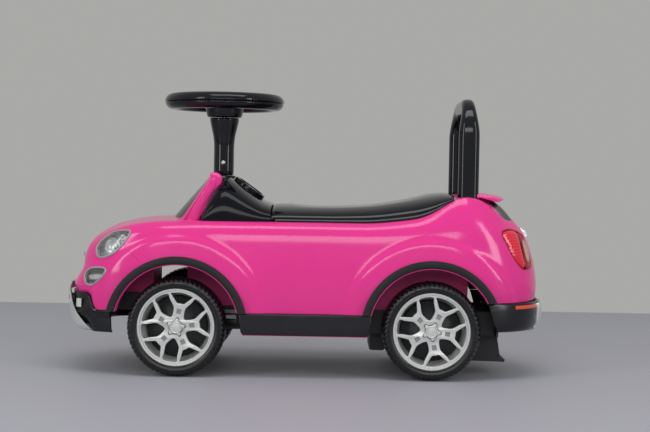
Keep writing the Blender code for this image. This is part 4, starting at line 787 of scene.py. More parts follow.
def spoiler():
    shape = [(0.2560, 0.2650), (0.2570, 0.2690), (0.2640, 0.2702), (0.2750, 0.2690), (0.2860, 0.2668),
             (0.2935, 0.2638), (0.2948, 0.2622), (0.2930, 0.2608), (0.2880, 0.2594), (0.2800, 0.2612),
             (0.2640, 0.2650)]
    obj = prism("tail_spoiler", rounded_outline(shape, 3), -0.0880, 0.0880, round_by=0.0010)
    step = bmesh.new()
    step.from_mesh(obj.data)
    for y in [0] + [-0.085 + 0.017 * i for i in range(11)]:
        bmesh.ops.bisect_plane(step, geom=step.verts[:] + step.edges[:] + step.faces[:], plane_co=(0, y, 0),
                               plane_no=(0, 1, 0))
    # the ends are swept forward and droop
    for vert in step.verts:
        t = abs(vert.co.y) / 0.0920
        vert.co.x -= 0.0110 * t ** 3
        vert.co.z -= 0.0018 * t ** 3
    step.to_mesh(obj.data)
    step.free()
    finish_piece(obj, **BODY_PINK)


body_skin()
rear_window()
screen()
spoiler()


# Wheel-arch trims, sills and bumpers

def arch_points(x, radius, steps=72):
    back = (TAIL_Z + 0.0003 if x > 0 else SILL_Z) - AXLE_Z
    begin = math.asin(back / radius)
    end = math.pi - math.asin((SILL_Z - AXLE_Z) / radius)
    return [polar(radius, a, x, AXLE_Z) for a in spread(begin, end, steps)]


def arch_ring(name, x, sign, section, **finish):
    """A moulded ring over a wheel; a section height of None is laid on the body's skin."""
    verts = []
    for points in zip(*[arch_points(x, r) for r, _ in section]):
        for (u, v), (_, out) in zip(points, section):
            if out is None:
                out = min(0.1400, abs(on_skin(u, max(v, SILL_Z + 0.002), sign).y) - 0.0010)
            verts.append((u, sign * out, v))
    tube(name, verts, len(section), shade=40, **finish)


TRIM_SECTION = [(TRIM_IN, 0.1200), (TRIM_IN, 0.1416), (TRIM_IN + 0.0005, 0.1428), (TRIM_IN + 0.0017, 0.1433),
                ((TRIM_IN + TRIM_OUT) / 2, 0.1435), (TRIM_OUT - 0.0017, 0.1432), (TRIM_OUT - 0.0005, 0.1425),
                (TRIM_OUT, 0.1410), (TRIM_OUT, None)]
LIP_SECTION = [(ARCH_R, 0.1200), (ARCH_R, 0.1402), (ARCH_R + 0.0004, 0.1408), (TRIM_IN - 0.0001, 0.1410),
               (TRIM_IN + 0.0010, 0.1390), (TRIM_IN + 0.0010, 0.1200)]
for side, sign in SIDES:
    for end, x in (("front", FRONT_X), ("rear", REAR_X)):
        arch_ring(f"arch_band_{end}_{side}", x, sign, TRIM_SECTION, paint=TRIM, slot="matt_black",
                  node=f"arch_trim_{end}_{side}")
        arch_ring(f"arch_lip_{end}_{side}", x, sign, LIP_SECTION, **BODY_PINK)


def band(name, steps, profile, thickness, sides=(-1, 1), begin=None, paint=BUMPER, **finish):
    """A strip round the body's plan line: profile(s) gives (outset, height) points."""
    sections = []
    for s in steps:
        section = []
        for p in spline(profile(s), 5):
            # with a slanted front end, each row starts at its own place
            late = (begin(p.y) - steps[0]) * (steps[-1] - s) / (steps[-1] - steps[0]) if begin else 0.0
            x, y, _, ux, uy = plan_way(s + late)
            section.append((x - ux * p.x, max(0.0, y - uy * p.x), p.y))
        sections.append(section)

    def outward(face):
        middle = face.calc_center_median()
        return face.normal.dot(Vector((middle.x, middle.y, 0)))

    obj = clean(raw_mesh(name, *mirrored(sections, sides)), 3 * NEAR, facing=outward)
    return finish_piece(thicken(obj, thickness), paint, 38, **finish)


def front_profile(s):
    top = (soft_table(SILL, s, 0.12) - 0.4) / 1000
    dip = 0.0016 * (1 - smooth(4.5, 4.9, s))
    recess = 0.0030 * smooth(0.1005, 0.1080, top) * (1 - smooth(4.1, 4.7, s))
    low = min(0.0945, top - 0.0035)
    # the lower edge draws back under the silver plate
    back = 0.0140 * (1 - smooth(3.6, 4.95, s))
    return [(-0.0010 - back, 0.0613), (0.0012 - back, 0.0622), (0.0024 - back * 0.9, 0.0665),
            (0.0034 - back * 0.55, 0.0740), (0.0040 - back * 0.15, 0.0830),
            (0.0041 - dip, 0.0846), (0.0041 - dip, 0.0862), (0.0044, 0.0874), (0.0045, 0.0890),
            (0.0045 - dip, 0.0902), (0.0045 - dip, 0.0914), (0.0040, low), (0.0038 - recess, (low + top) / 2),
            (0.0034 - recess * 0.9, top - 0.0022), (0.0010, top)]


def place_at(wanted):
    """Place on the plan line of the tail at a given X."""
    return search(24.0, LAST_PLACE, lambda s: plan_point(s)[0] < wanted)[0]


REAR_PROFILE = [(-0.0090, 0.0704), (-0.0040, 0.0710), (0.0000, 0.0742), (0.0022, 0.0800), (0.0034, 0.0890),
                (0.0038, 0.0990), (0.0036, 0.1060), (0.0028, 0.1113), (0.0006, 0.1127)]
REAR_HEEL = [(0.0690, 0.2850), (0.0722, 0.2810), (0.0757, 0.2775), (0.0831, 0.2733), (0.0912, 0.2703),
             (0.1050, 0.2664), (0.1130, 0.2644)]
REFLECTOR_PROFILE = [(0.0026, 0.1038), (0.0044, 0.1042), (0.0047, 0.1055), (0.0047, 0.1075), (0.0044, 0.1088),
                     (0.0026, 0.1092)]

band("front_bumper_skin", spread(0, 5.97, 90), front_profile, 0.0030, node="front_bumper", slot="matt_black")
band("rear_bumper_skin", spread(25.6, LAST_PLACE, 60), lambda s: REAR_PROFILE, 0.0030,
     begin=lambda z: place_at(table(REAR_HEEL, z)), node="rear_bumper", slot="matt_black")
for side, sign in SIDES:
    band(f"tail_reflector_{side}", spread(place_at(0.3037), place_at(0.3412), 16),
         lambda s: REFLECTOR_PROFILE, 0.0012, (sign,), paint=ORANGE, node=f"rear_reflector_{side}",
         slot="reflector_orange")


def nose_profile(s):
    lip = max(0.0, 1 - s / 1.6)
    tip = 0.0074 + 0.0070 * max(0.0, 1 - s / 1.7)
    return [(-0.0250 * lip - 0.0080 * (1 - lip), 0.0612 - 0.0077 * lip), (-0.0030, 0.0634 - 0.0044 * lip),
            (0.0020, 0.0700), (0.0052, 0.0810), (0.0074 + (tip - 0.0074) * 0.35, 0.0990),
            (tip - 0.0006, 0.1130), (tip, 0.1185), (tip - 0.0010, 0.1240), (tip - 0.0035, 0.1262)]


def tail_profile(s):
    low = 1 - (s - 30) / 2
    return [(-0.0090 + 0.0105 * low, 0.0615 + 0.0120 * low), (0.0020, 0.0690 + 0.0080 * low),
            (0.0062, 0.0775 + 0.0050 * low), (0.0088 - 0.0012 * low, 0.0900),
            (0.0094 - 0.0012 * low, 0.1000), (0.0086 - 0.0010 * low, 0.1080), (0.0066, 0.1106)]


def skid_plates():
    nose = band("nose_plate", spread(0, 4.7, 70), nose_profile, 0.0026)
    keep = rounded_outline([
        (-0.3700, 0.0500), (-0.3040, 0.0520), (-0.3046, 0.0607), (-0.3180, 0.0740), (-0.3325, 0.0907),
        (-0.3425, 0.1120), (-0.3452, 0.1240), (-0.3475, 0.1285), (-0.3700, 0.1290), (-0.3720, 0.0900)], 4)
    cut(nose, tool(keep, -0.2, 0.2), "INTERSECT")
    window = rounded_outline([
        (-0.0355, 0.1120), (-0.0300, 0.1138), (0.0, 0.1140), (0.0300, 0.1138), (0.0355, 0.1120),
        (0.0600, 0.0905), (0.0580, 0.0878), (0.0, 0.0872), (-0.0580, 0.0878), (-0.0600, 0.0905)], 4)
    cut(nose, tool(window, -0.40, -0.30, "x"))
    finish_piece(rounded(nose, 0.0008, 2, 40), PLATE, 32, "front_skid_plate", "chrome")
    for k, z in enumerate((0.0945, 0.1010, 0.1075)):
        path = []
        for i in range(25):
            x, y, _ = plan_point(1.9 * (1 - i / 12) if i <= 12 else 1.9 * (i / 12 - 1))
            path.append((x - 0.0046, -y if i <= 12 else y, z))
        sweep(f"grille_bar_{k}", path, 0.0016, flat=0.8, **MATT_BLACK)
    lathe("tow_cap", [(0.0, 0.0046), (0.0040, 0.0042), (0.0056, 0.0028), (0.0060, 0.0), (0.0060, -0.0060),
                      (0.0, -0.0060)], "x", (-0.3510, -0.0180, 0.1030), 40, -1, paint=BLACK,
          slot="matt_black")
    tail = band("tail_plate", spread(30, LAST_PLACE, 40), tail_profile, 0.0040)
    finish_piece(rounded(tail, 0.0008, 2, 40), PLATE, 32, "rear_skid_plate", "chrome")


skid_plates()


def skirt(side, sign):
    """Sill moulding with a long pressed flute and a bright lower edge."""
    x0, x1 = FRONT_X + 0.0918, REAR_X - 0.0884
    shape = [(x0 - 0.0020, SILL_Z - 0.0005), (x1 + 0.0020, SILL_Z - 0.0005), (x1 + 0.0012, 0.0780),
             (x1 - 0.0010, 0.0655), (x1 - 0.0040, 0.0622), (x0 + 0.0040, 0.0622), (x0 + 0.0010, 0.0655),
             (x0 - 0.0012, 0.0780)]
    obj = prism(f"sill_{side}", shape, *span(sign, 0.1180, 0.1345), round_by=0.0016)
    verts = []
    for t in spread(0, 1, 48):
        x, z = x0 + 0.0100 + (x1 - x0 - 0.0220) * t, 0.0790 - 0.0015 * math.cos(math.pi * t)
        wide = 0.0105 * math.sin(math.pi * min(1, t * 1.6 + 0.02) / 2) * min(1.0, (1 - t) * 9 + 0.12)
        high = max(0.0012, wide) * 0.62
        for a in spread(0, FULL_TURN, 12)[:-1]:
            verts.append((x, sign * (0.1358 + 0.0040 * math.cos(a)), z + high * math.sin(a)))
    cut(obj, tube("tool", verts, 12, shade=None))
    finish_piece(obj, node=f"side_skirt_{side}", **BUMPER_BLACK)
    edge = [(x, sign * 0.1300, 0.0619) for x in (x0 + 0.0030, x1 - 0.0030)]
    sweep(f"sill_line_{side}", edge, 0.0009, **BODY_PINK)


for side, sign in SIDES:
    skirt(side, sign)


# Wheels

WHEEL_HALF = TYRE_WIDTH / 2


def tyre(name, x, sign, node, body):
    """Hard tyre with side lugs and a ribbed sidewall, built ring by ring."""
    lugs, per = 60, 6
    rubber = dict(paint=TYRE, slot="tyre", body=body)
    tread = TYRE_R - 0.0001
    # radius, distance from the outer face, and whether the lugs are cut into it
    half = [(RIM_R - 0.0006, 0.0030, 0), (RIM_R + 0.0010, 0.0012, 0), (0.0600, 0.0002, 0), (0.0618, 0.0, 0),
            (0.0625, 0.0008, 0), (0.0650, 0.0010, 1), (0.0668, 0.0018, 1), (0.0690, 0.0040, 1),
            (0.0702, 0.0070, 1), (tread - 0.0005, 0.0120, 1), (tread, WHEEL_HALF - 0.0040, 1),
            (tread, WHEEL_HALF - 0.0016, 1)]
    profile = [(r, -WHEEL_HALF + h, k) for r, h, k in half]
    profile += [(r, -h, k) for r, h, k in reversed(profile)]
    verts = []
    for i in range(lugs * per):
        for r, h, lugged in profile:
            phase = (i / per + abs(h) * 55.0) % 1.0
            dip = smooth(0.50, 0.60, phase) - smooth(0.90, 1.0, phase)
            if lugged:
                r -= 0.0022 * dip * smooth(0.0640, 0.0695, r)
            u, v = polar(r, FULL_TURN * i / (lugs * per), x, AXLE_Z)
            verts.append((u, sign * (TYRE_FACE - WHEEL_HALF) + h, v))
    faces = quads(lugs * per, len(profile), loop=True, ring=True)
    mesh_piece(name, verts, faces, shade=40, node=node, **rubber)
    # short slanted ribs on the sidewall
    verts, faces = [], []
    for k in range(20):
        a = FULL_TURN * (k + 0.3) / 20
        for r, turn in ((0.0628, -0.034), (0.0668, 0.034)):
            for across in (-0.0006, 0.0006):
                for up in (0.0, 0.0012):
                    u, v = polar(r, a + turn + across / r, x, AXLE_Z)
                    verts.append((u, sign * (TYRE_FACE - 0.0012 + up), v))
        faces += [tuple(8 * k + n for n in corners) for corners in (
            (0, 1, 3, 2), (4, 6, 7, 5), (0, 4, 5, 1), (2, 3, 7, 6), (1, 5, 7, 3), (0, 2, 6, 4))]
    mesh_piece(name + "_ribs", verts, faces, shade=20, **rubber)


# outlines of the two kinds of opening between the spokes: radius and angle in degrees
FORK_HOLE = [(0.0345, 0), (0.0347, 8), (0.0400, 13.5), (0.0460, 17.5), (0.0492, 18.8), (0.0498, 10),
             (0.0500, 0)]
WIDE_HOLE = [(0.0163, 36), (0.0180, 45), (0.0215, 50.5), (0.0262, 54.5), (0.0300, 55.0), (0.0350, 52.5),
             (0.0420, 49.5), (0.0492, 48.0), (0.0500, 36)]
for half, middle in ((FORK_HOLE, 0), (WIDE_HOLE, 36)):
    half += [(r, 2 * middle - degrees) for r, degrees in half[-2:0:-1]]


def rim(name, x, sign, turn, node, body):
    face_y = TYRE_FACE - 0.0036
    axle = (x, sign * (TYRE_FACE - WHEEL_HALF), AXLE_Z)
    edge = [polar(RIM_R - 0.0035, FULL_TURN * i / 96) for i in range(96)]
    turns = [math.radians(turn + 72 * k) for k in range(5)]
    holes = [rounded_outline([polar(r, mid + math.radians(d)) for r, d in shape], 3)
             for mid in turns for shape in (FORK_HOLE, WIDE_HOLE)]
    face = prism(name + "_face", edge, *span(sign, face_y - 0.0085, face_y), holes=holes, round_by=0.0007)
    for vert in face.data.vertices:
        r = math.hypot(vert.co.x, vert.co.z)
        # the face is dished: the middle stands back from the rim's edge
        vert.co.y += -sign * 0.0022 * (1 - smooth(0.012, 0.050, r))
        vert.co.x += x
        vert.co.z += AXLE_Z

    def pocket(a, corners):
        c, s = math.cos(a), math.sin(a)
        return [(u * c - v * s + x, u * s + v * c + AXLE_Z) for u, v in corners]

    for k, a in enumerate(turns):
        opening = pocket(a, ((0.0195, -0.0031), (0.0268, -0.0036), (0.0268, 0.0036), (0.0195, 0.0031)))
        cut(face, tool(opening, *span(sign, face_y - 0.0040, face_y + 0.0040)))
        # each pocket's floor is darker silver: painted shade in the recess
        floor = pocket(a, ((0.0192, -0.0034), (0.0272, -0.0039), (0.0272, 0.0039), (0.0192, 0.0034)))
        prism(f"{name}_pocket_{k}", floor, *span(sign, face_y - 0.0047, face_y - 0.0032), paint=SILVER_PAINTED_SHADE,
              slot="silver", body=body)
    finish_piece(face, shade=30, node=node, body=body, **SILVERED)
    # radius and distance inward from the outer face
    for part, count, finish, profile in (
            ("_barrel", 120, SILVERED, (
                (RIM_R, 0.0040), (RIM_R + 0.0001, 0.0022), (RIM_R - 0.0008, 0.0012), (RIM_R - 0.0028, 0.0014),
                (RIM_R - 0.0042, 0.0040), (RIM_R - 0.0052, 0.0090), (RIM_R - 0.0100, 0.0250),
                (RIM_R - 0.0130, TYRE_WIDTH - 0.0040), (RIM_R, TYRE_WIDTH - 0.0030))),
            ("_back", 72, MATT_BLACK, (
                (0.0150, 0.0120), (0.0420, 0.0230), (0.0440, 0.0250), (0.0150, 0.0250))),
            # the boss is darker silver: painted shade where it stands back
            ("_boss", 48, dict(paint=SILVER_PAINTED_SHADE, slot="silver"), (
                (0.0060, 0.0060), (0.0145, 0.0080), (0.0150, TYRE_WIDTH - 0.0020),
                (0.0060, TYRE_WIDTH - 0.0020)))):
        lathe(name + part, [(r, WHEEL_HALF - h) for r, h in profile], "y", axle, count, sign, True, body=body,
              **finish)


def hub_cap(name, x, sign, turn, node, body):
    """Five-lobed plain cap with a domed middle."""
    def outline(scale):
        points = []
        for i in range(100):
            a = FULL_TURN * i / 100
            lobe = max(0.0, math.cos(5 * a)) ** 0.8
            points.append(polar((0.0092 + 0.0040 * lobe) * scale, a + math.radians(turn), x, AXLE_Z))
        return points

    low, high = TYRE_FACE - 0.0062, TYRE_FACE - 0.0022
    prism(name, outline(1.0), *span(sign, low, high), round_by=0.0009, node=node, body=body, **SILVERED)
    # a black ring a little larger than the cap, under it: painted shade that outlines the cap
    prism(name + "_painted_shade_ring", outline(1.09), *span(sign, low, high - 0.0016), paint=MATT, slot="silver",
          body=body)
    disc = [(0.0, 0.0), (0.0082, 0.0), (0.0082, 0.0014), (0.0077, 0.0019), (0.0070, 0.0014),
            (0.0066, 0.0008), (0.0052, 0.0010), (0.0, 0.0014)]
    lathe(name + "_disc", disc, "y", (x, sign * high, AXLE_Z), 60, sign, body=body, **SILVERED)


for side, sign in SIDES:
    for end, x, turn in (("front", FRONT_X, 80.0), ("rear", REAR_X, 64.2)):
        where, body = f"{end}_{side}", f"wheel_{end}_{side}"
        if sign > 0:
            turn += 11
        tyre(f"tyre_ring_{where}", x, sign, f"tyre_{where}", body)
        rim(f"rim_web_{where}", x, sign, turn, f"rim_{where}", body)
        hub_cap(f"cap_{where}", x, sign, turn, f"hub_cap_{where}", body)


# Steering wheel, column and backrest

FUSE_GRID, FUSE_ROUNDS = 0.0011, 7


def fused(name, parts, **finish):
    """Parts run together, evened out by a fine grid and smoothed."""
    obj = parts[0]
    for part in parts[1:]:
        cut(obj, part, "UNION")
    obj.name = name
    step = obj.modifiers.new("grid", "REMESH")
    step.mode = "VOXEL"
    step.voxel_size = FUSE_GRID
    step = obj.modifiers.new("even", "SMOOTH")
    step.factor = 0.5
    step.iterations = FUSE_ROUNDS
    return finish_piece(settle(obj), shade=60, body="steering", **GLOSS, **finish)


def steering_wheel():
    centre = (COLUMN_X, 0, WHEEL_Z)
    # distance inward from the rim's outside, and height
    upper = [(0, 0.0004), (0.0004, 0.0035), (0.0022, 0.0076), (0.0056, 0.0112), (0.0100, 0.0131),
             (0.0145, 0.0133), (0.0190, 0.0116), (0.0232, 0.0078), (0.0254, 0.0035), (0.0258, 0.0004)]
    lower = [(0.0010, -0.0001), (0.0016, -0.0034), (0.0040, -0.0072), (0.0085, -0.0104), (0.0140, -0.0112),
             (0.0190, -0.0102), (0.0228, -0.0070), (0.0246, -0.0034), (0.0250, -0.0001)]
    hub_top = [(0.0, 0.0004), (0.0290, 0.0004), (0.0288, 0.0060), (0.0272, 0.0108), (0.0230, 0.0142),
               (0.0165, 0.0157), (0.0, 0.0160)]
    hub_low = [(0.0, -0.0001), (0.0290, -0.0001), (0.0286, -0.0080), (0.0276, -0.0150), (0.0262, -0.0205),
               (0.0240, -0.0222), (0.0, -0.0222)]
    tops, lows = [[lathe("ring", [(WHEEL_RADIUS - d, z) for d, z in ring], "z", centre, 144, closed=True),
                   lathe("hub", hub, "z", centre, 72)] for ring, hub in ((upper, hub_top), (lower, hub_low))]
    half_spoke = [(0.018, 0.0150), (0.034, 0.0120), (0.048, 0.0108), (0.060, 0.0128), (0.070, 0.0180)]
    angles = (90, 210, 330)
    spokes = [math.radians(angle) for angle in angles]
    for a in spokes:
        shape = [(COLUMN_X + u * math.cos(a) - v * math.sin(a), u * math.sin(a) + v * math.cos(a))
                 for u, v in [(u, -v) for u, v in half_spoke] + half_spoke[::-1]]
        tops.append(tool(shape, WHEEL_Z + 0.0005, WHEEL_Z + 0.0098, "z"))
        lows.append(tool(shape, WHEEL_Z - 0.0078, WHEEL_Z - 0.0002, "z"))
    wheel = fused("wheel_top", tops, node="steering_wheel")
    fused("wheel_under", lows, node="steering_wheel_underside")
    grey = dict(paint=GREY, slot="button_grey")
    for name, y, radius, top, node, body, finish in (
            ("horn_cap", 0.0, 0.0110, 0.0172, "horn_button", "horn", GLOSS),
            ("music_cap_left", -0.0190, 0.0048, 0.0164, "music_button_left", "music_left", grey),
            ("music_cap_right", 0.0190, 0.0048, 0.0164, "music_button_right", "music_right", grey)):
        place = (COLUMN_X, y, WHEEL_Z)
        cut(wheel, lathe("well", bore(radius + 0.0004, 0.0105, 0.03), "z", place, 48))
        button = [(0.0, 0.0130), (radius, 0.0130), (radius, top - 0.0016), (radius - 0.0006, top - 0.0007),
                  (radius * 0.75, top - 0.0002), (0.0, top)]
        lathe(name, button, "z", place, 48, shade=40, node=node, body=body, **finish)
    finish_piece(wheel, BLACK, 60, body="steering")
    screw = [(0.0, -0.0001), (0.0026, -0.0004), (0.0030, -0.0012), (0.0030, -0.0030), (0.0, -0.0030)]
    for angle, a in zip(angles, spokes):
        place = (*polar(0.045, a, COLUMN_X), WHEEL_Z - 0.0092)
        lathe(f"spoke_screw_{angle}", screw, "z", place, 24, -1, paint=STEEL, slot="steel", body="steering")


def column():
    curve = spline([(0.0128, 0.2898), (0.0141, 0.2903), (0.0150, 0.2930), (0.0152, 0.3100),
                    (0.0153, 0.3340), (0.0166, 0.3480), (0.0192, 0.3600), (0.0210, 0.3680),
                    (0.0219, 0.3740), (0.0214, 0.3762)], 4)
    profile = [(0.0, 0.2898)] + [(p.x, p.y) for p in curve] + [(0.0, 0.3762)]
    post = lathe("column_post", profile, "z", (COLUMN_X, 0, 0), 96)
    screw_z = 0.3087
    cut(post, lathe("tool", bore(0.0046, 0.0136, 0.0200, 0.0050), "y", (COLUMN_X, 0, screw_z), 40, -1))
    finish_piece(post, shade=40, node="steering_column", body="steering", **GLOSS)
    head = lathe("column_screw_head", [(0.0, 0.0159), (0.0020, 0.0158), (0.0031, 0.0152), (0.0037, 0.0142),
                                       (0.0037, 0.0136), (0.0, 0.0136)], "y", (COLUMN_X, 0, screw_z), 32, -1)
    for u, v in ((0.0022, 0.0005), (0.0005, 0.0022)):
        cut(head, tool(rect(COLUMN_X - u, screw_z - v, COLUMN_X + u, screw_z + v), -0.0170, -0.0150))
    finish_piece(head, STEEL, 35, "column_screw", "steel", "steering")
    lathe("column_collar", [(0.0160, 0.2862), (0.0185, 0.2862), (0.0182, 0.2884), (0.0168, 0.2896),
                            (0.0156, 0.2892)], "z", (COLUMN_X, 0, 0), closed=True, **GLOSS)


def backrest():
    leg_y, half_w, half_x, mid_x, top_z, radius = 0.0800, 0.0120, 0.01525, 0.23725, 0.4095, 0.0400
    top = top_z - half_w
    # half of the bow as Y, Z and the section's turn: leg, bend, top bar
    path = [(-leg_y, z, 0.0) for z in spread(0.2450, 0.3575, 30)]
    for a in spread(0, math.pi / 2, 24)[1:]:
        path.append((-leg_y + radius - radius * math.cos(a), top - radius + radius * math.sin(a), a))
    path += [(y, top, math.pi / 2) for y in spread(-leg_y + radius, 0, 12)[1:]]
    path += [(-y, z, math.pi - a) for y, z, a in reversed(path[:-1])]
    section = []
    for a in spread(0, FULL_TURN, 40)[:-1]:
        c, s = math.cos(a), math.sin(a)
        section.append((half_x * math.copysign(abs(c) ** 0.80, c), half_w * math.copysign(abs(s) ** 0.85, s)))
    verts = []
    for y, z, a in path:
        slim = 1.0 - 0.34 * smooth(0.352, top + 0.004, z)
        for u, v in section:
            # a shallow channel runs up the outer face
            w = v + 0.0004 * smooth(0.6, 1.0, -v / half_w) * (1 - smooth(0.30, 0.55, abs(u) / half_x))
            verts.append((mid_x + u * slim, y + w * math.cos(a), z - w * math.sin(a)))
    tube("backrest_bow", verts, len(section), shade=40, node="backrest", **GLOSS)


steering_wheel()
column()
backrest()


# Seat and dash

EDGE_CACHE = {}


def skin_edge(s):
    """The skin's shoulder at a place on the plan line."""
    key = round(s, 5)
    if key not in EDGE_CACHE:
        x, y, _, ux, uy = plan_way(s)
        e, z = side_profile(s)[-1]
        e -= flare(x + ux * e, z) * abs(uy)
        EDGE_CACHE[key] = (x + ux * e, y + uy * e, z)
    return EDGE_CACHE[key]


def top_edge(x):
    low, high = search(8.0, 24.0, lambda s: skin_edge(s)[0] < x)
    return skin_edge((low + high) / 2)[1:]


def saddle(name, crest_rows, exponent, columns, sink=None):
    """A crowned cover standing on the body's top edge, both halves in one sheet."""
    rows, inset, lift, wall = 56, 0.0012, 0.0004, 0.0026
    verts = []
    for p in pick(spline(crest_rows, 14), columns):
        y_edge, z_edge = top_edge(p.x)
        y_edge -= inset
        z_edge += lift
        for i in range(rows + 1):
            a = math.pi * (1 - (1 - math.cos(math.pi * i / rows)) / 2)
            c, s = math.cos(a), math.sin(a)
            y = y_edge * math.copysign(abs(c) ** (2 / exponent), c)
            z = z_edge + (p.y - z_edge) * abs(s) ** (2 / exponent)
            verts.append((p.x, y, z - sink(p.x, y) if sink else z))
    obj = raw_mesh(name, verts, quads(columns + 1, rows + 1, order=(0, 3, 2, 1)))
    return thicken(clean(obj, facing=lambda f: f.normal.z), wall, even=False)


LID_CREST = [(-0.0500, 0.2440), (-0.0485, 0.2466), (-0.0450, 0.2482), (-0.0300, 0.2486), (0.0100, 0.2485),
             (0.0500, 0.2490), (0.1000, 0.2526), (0.1500, 0.2604), (0.1750, 0.2652), (0.2000, 0.2694),
             (0.2150, 0.2692)]
DASH_CREST = [(-0.1500, 0.2330), (-0.1460, 0.2480), (-0.1400, 0.2640), (-0.1290, 0.2825), (-0.1180, 0.2885),
              (-0.1090, 0.2848), (-0.0850, 0.2672), (-0.0650, 0.2536), (-0.0503, 0.2478)]


def seat():
    def dish(x, y):
        """How far the place where the child sits is sunk."""
        along = smooth(-0.030, 0.020, x) * (1 - smooth(0.130, 0.185, x))
        return 0.0022 * (along * (1 - smooth(0.040, 0.078, abs(y))))

    lid = saddle("seat_cover", LID_CREST, 2.6, 90, dish)
    edge = top_edge(-0.0430)[1]
    cut(lid, tool(rect(-0.0520, edge - 0.01, -0.0418, edge + 0.0040), -0.12, 0.12))
    finish_piece(rounded(lid, 0.0007, 2, 50), shade=40, node="seat_lid", body="lid", **GLOSS)


def slot_shape(length, radius):
    points = []
    for end in (1, -1):
        points += [polar(radius, -end * math.pi / 2 + math.pi * i / 16, end * length / 2) for i in range(17)]
    return points


def dash():
    cover = saddle("dash_cover", DASH_CREST, 3.0, 80)
    pillar = [(-0.1900, 0.2100), (-0.1450, 0.2895), (-0.1400, 0.2950), (-0.1290, 0.2945), (-0.1234, 0.2858),
              (-0.1244, 0.2738), (-0.1610, 0.2100)]
    for _, sign in SIDES:
        cut(cover, tool(pillar, *span(sign, 0.0668, 0.0814)))
    for profile, count in ((bore(0.0052, 0.26, 0.30), 40), (bore(0.0158, 0.2860, 0.31, 0.0175), 64)):
        cut(cover, lathe("tool", profile, "z", (COLUMN_X, 0, 0), count))
    finish_piece(rounded(cover, 0.0006, 2, 50), DASH_BLACK, 40, "dash_console", "gloss_black")
    turn = Matrix.Rotation(math.atan2(0.0320, 0.0450), 4, "Y") @ Matrix.Rotation(math.pi / 2, 4, "Z")
    place = Matrix.Translation((-0.0868, 0.0, 0.2704)) @ turn
    pod = prism("gauge_pod", slot_shape(0.0300, 0.0258), -0.0100, 0.0040, "z",
                [slot_shape(0.0280, 0.0205)], 0.0012)
    panel = prism("gauge_face", slot_shape(0.0280, 0.0203), -0.0060, 0.0012, "z", round_by=0.0008)
    dials = [lathe(f"gauge_dial_{k}", [(0.0, 0.0016), (0.0098, 0.0016), (0.0102, 0.0024), (0.0112, 0.0024),
                                       (0.0118, 0.0012), (0.0, 0.0006)], "z", (v, 0, 0), 48)
             for k, v in enumerate((-0.0150, 0.0150))]
    for obj, paint, node, slot in ((pod, DASH_BLACK, None, "gloss_black"),
                                   (panel, GREY, "gauge_panel", "button_grey"),
                                   *[(dial, LAMP_DARK, None, "button_grey") for dial in dials]):
        obj.data.transform(place)
        finish_piece(obj, paint, 35, node, slot)


seat()
dash()


# Lamps

def dome(height, reach):
    """Lift of a bulged lens by the distance from its edge."""
    return lambda d, p: 0.0004 + height * (1 - (1 - min(1.0, d / reach)) ** 2)


def rising(base, height, reach):
    """Lift of a flat lens with a sloped edge."""
    return lambda d, p: base + height * min(1.0, d / reach)


def well(name, outline, sign, depth, draw, **finish):
    """Side wall and floor of a lamp's housing behind its opening."""
    count = len(outline)
    verts = []
    for t in (0.0, 0.35, 0.7, 1.0):
        for (u, v), (p, q) in zip(outline, shrink(outline, draw)):
            at = on_skin(u, v, sign, -0.0006)
            verts.append((at.x + (p - u) * t, at.y - sign * depth * t, at.z + (q - v) * t))
    mesh_piece(name, verts, quads(4, count, ring=True) + ends(len(verts), count)[1:], **finish)


def bezel(name, outline, sign, radius, lift, flat=1.0, **finish):
    sweep(name, [on_skin(u, v, sign, lift) for u, v in outline], radius, closed=True, flat=flat, **finish)


def aimed(obj, x, z, sign, lift):
    """Turn a lamp part made facing +Z so that it looks out of the skin here."""
    at = on_skin(x, z, sign)
    normal = (on_skin(x, z, sign, 0.01) - at).normalized()
    aim = (normal + Vector((-0.15, sign * 0.5, 0.0))).normalized()
    turn = aim.to_track_quat("Z", "Y").to_matrix().to_4x4()
    obj.data.transform(Matrix.Translation(at + normal * lift) @ turn)
    return obj


def headlight(side, sign):
    well(f"head_housing_{side}", shrink(HEADLIGHT, 0.0004), sign, 0.0150, 0.0022, **LAMP_SILVER)
    for k, x, z, r, back, node in ((0, -0.2800, 0.1856, 0.0118, -0.0060, f"headlight_reflector_{side}"),
                                   (1, -0.2640, 0.1962, 0.0070, -0.0050, None)):
        bowl = lathe(f"head_bowl_{k}_{side}", [
            (0.0, -0.0070), (r * 0.45, -0.0062), (r * 0.80, -0.0036), (r * 0.97, 0.0), (r, 0.0012),
            (r * 1.08, 0.0010), (r * 1.10, -0.0030)], "z", (0, 0, 0), 48)
        bulb = lathe(f"head_bulb_{k}_{side}", [(0.0, 0.0016), (r * 0.16, 0.0012), (r * 0.26, -0.0004),
                                               (r * 0.28, -0.0060), (0.0, -0.0060)], "z", (0, 0, 0), 32)
        finish_piece(aimed(bowl, x, z, sign, back), shade=40, node=node, **LAMP_SILVER)
        finish_piece(aimed(bulb, x, z, sign, back), shade=40, **LAMP_SILVER)
    drape(f"head_lens_{side}", shrink(HEADLIGHT, 0.0010), sign, dome(0.0022, 0.010), 0.0022, 0.0010,
          node=f"headlight_lens_{side}", **LENS)
    bezel(f"head_bezel_{side}", shrink(HEADLIGHT, 0.0006), sign, 0.0012, 0.0004, 1.3, **LAMP_GREY)


LOW_BAND = rounded_outline([
    (-0.3165, 0.1372), (-0.3140, 0.1425), (-0.3000, 0.1446), (-0.2888, 0.1452), (-0.2905, 0.1405),
    (-0.2960, 0.1372), (-0.3060, 0.1356)], 4)


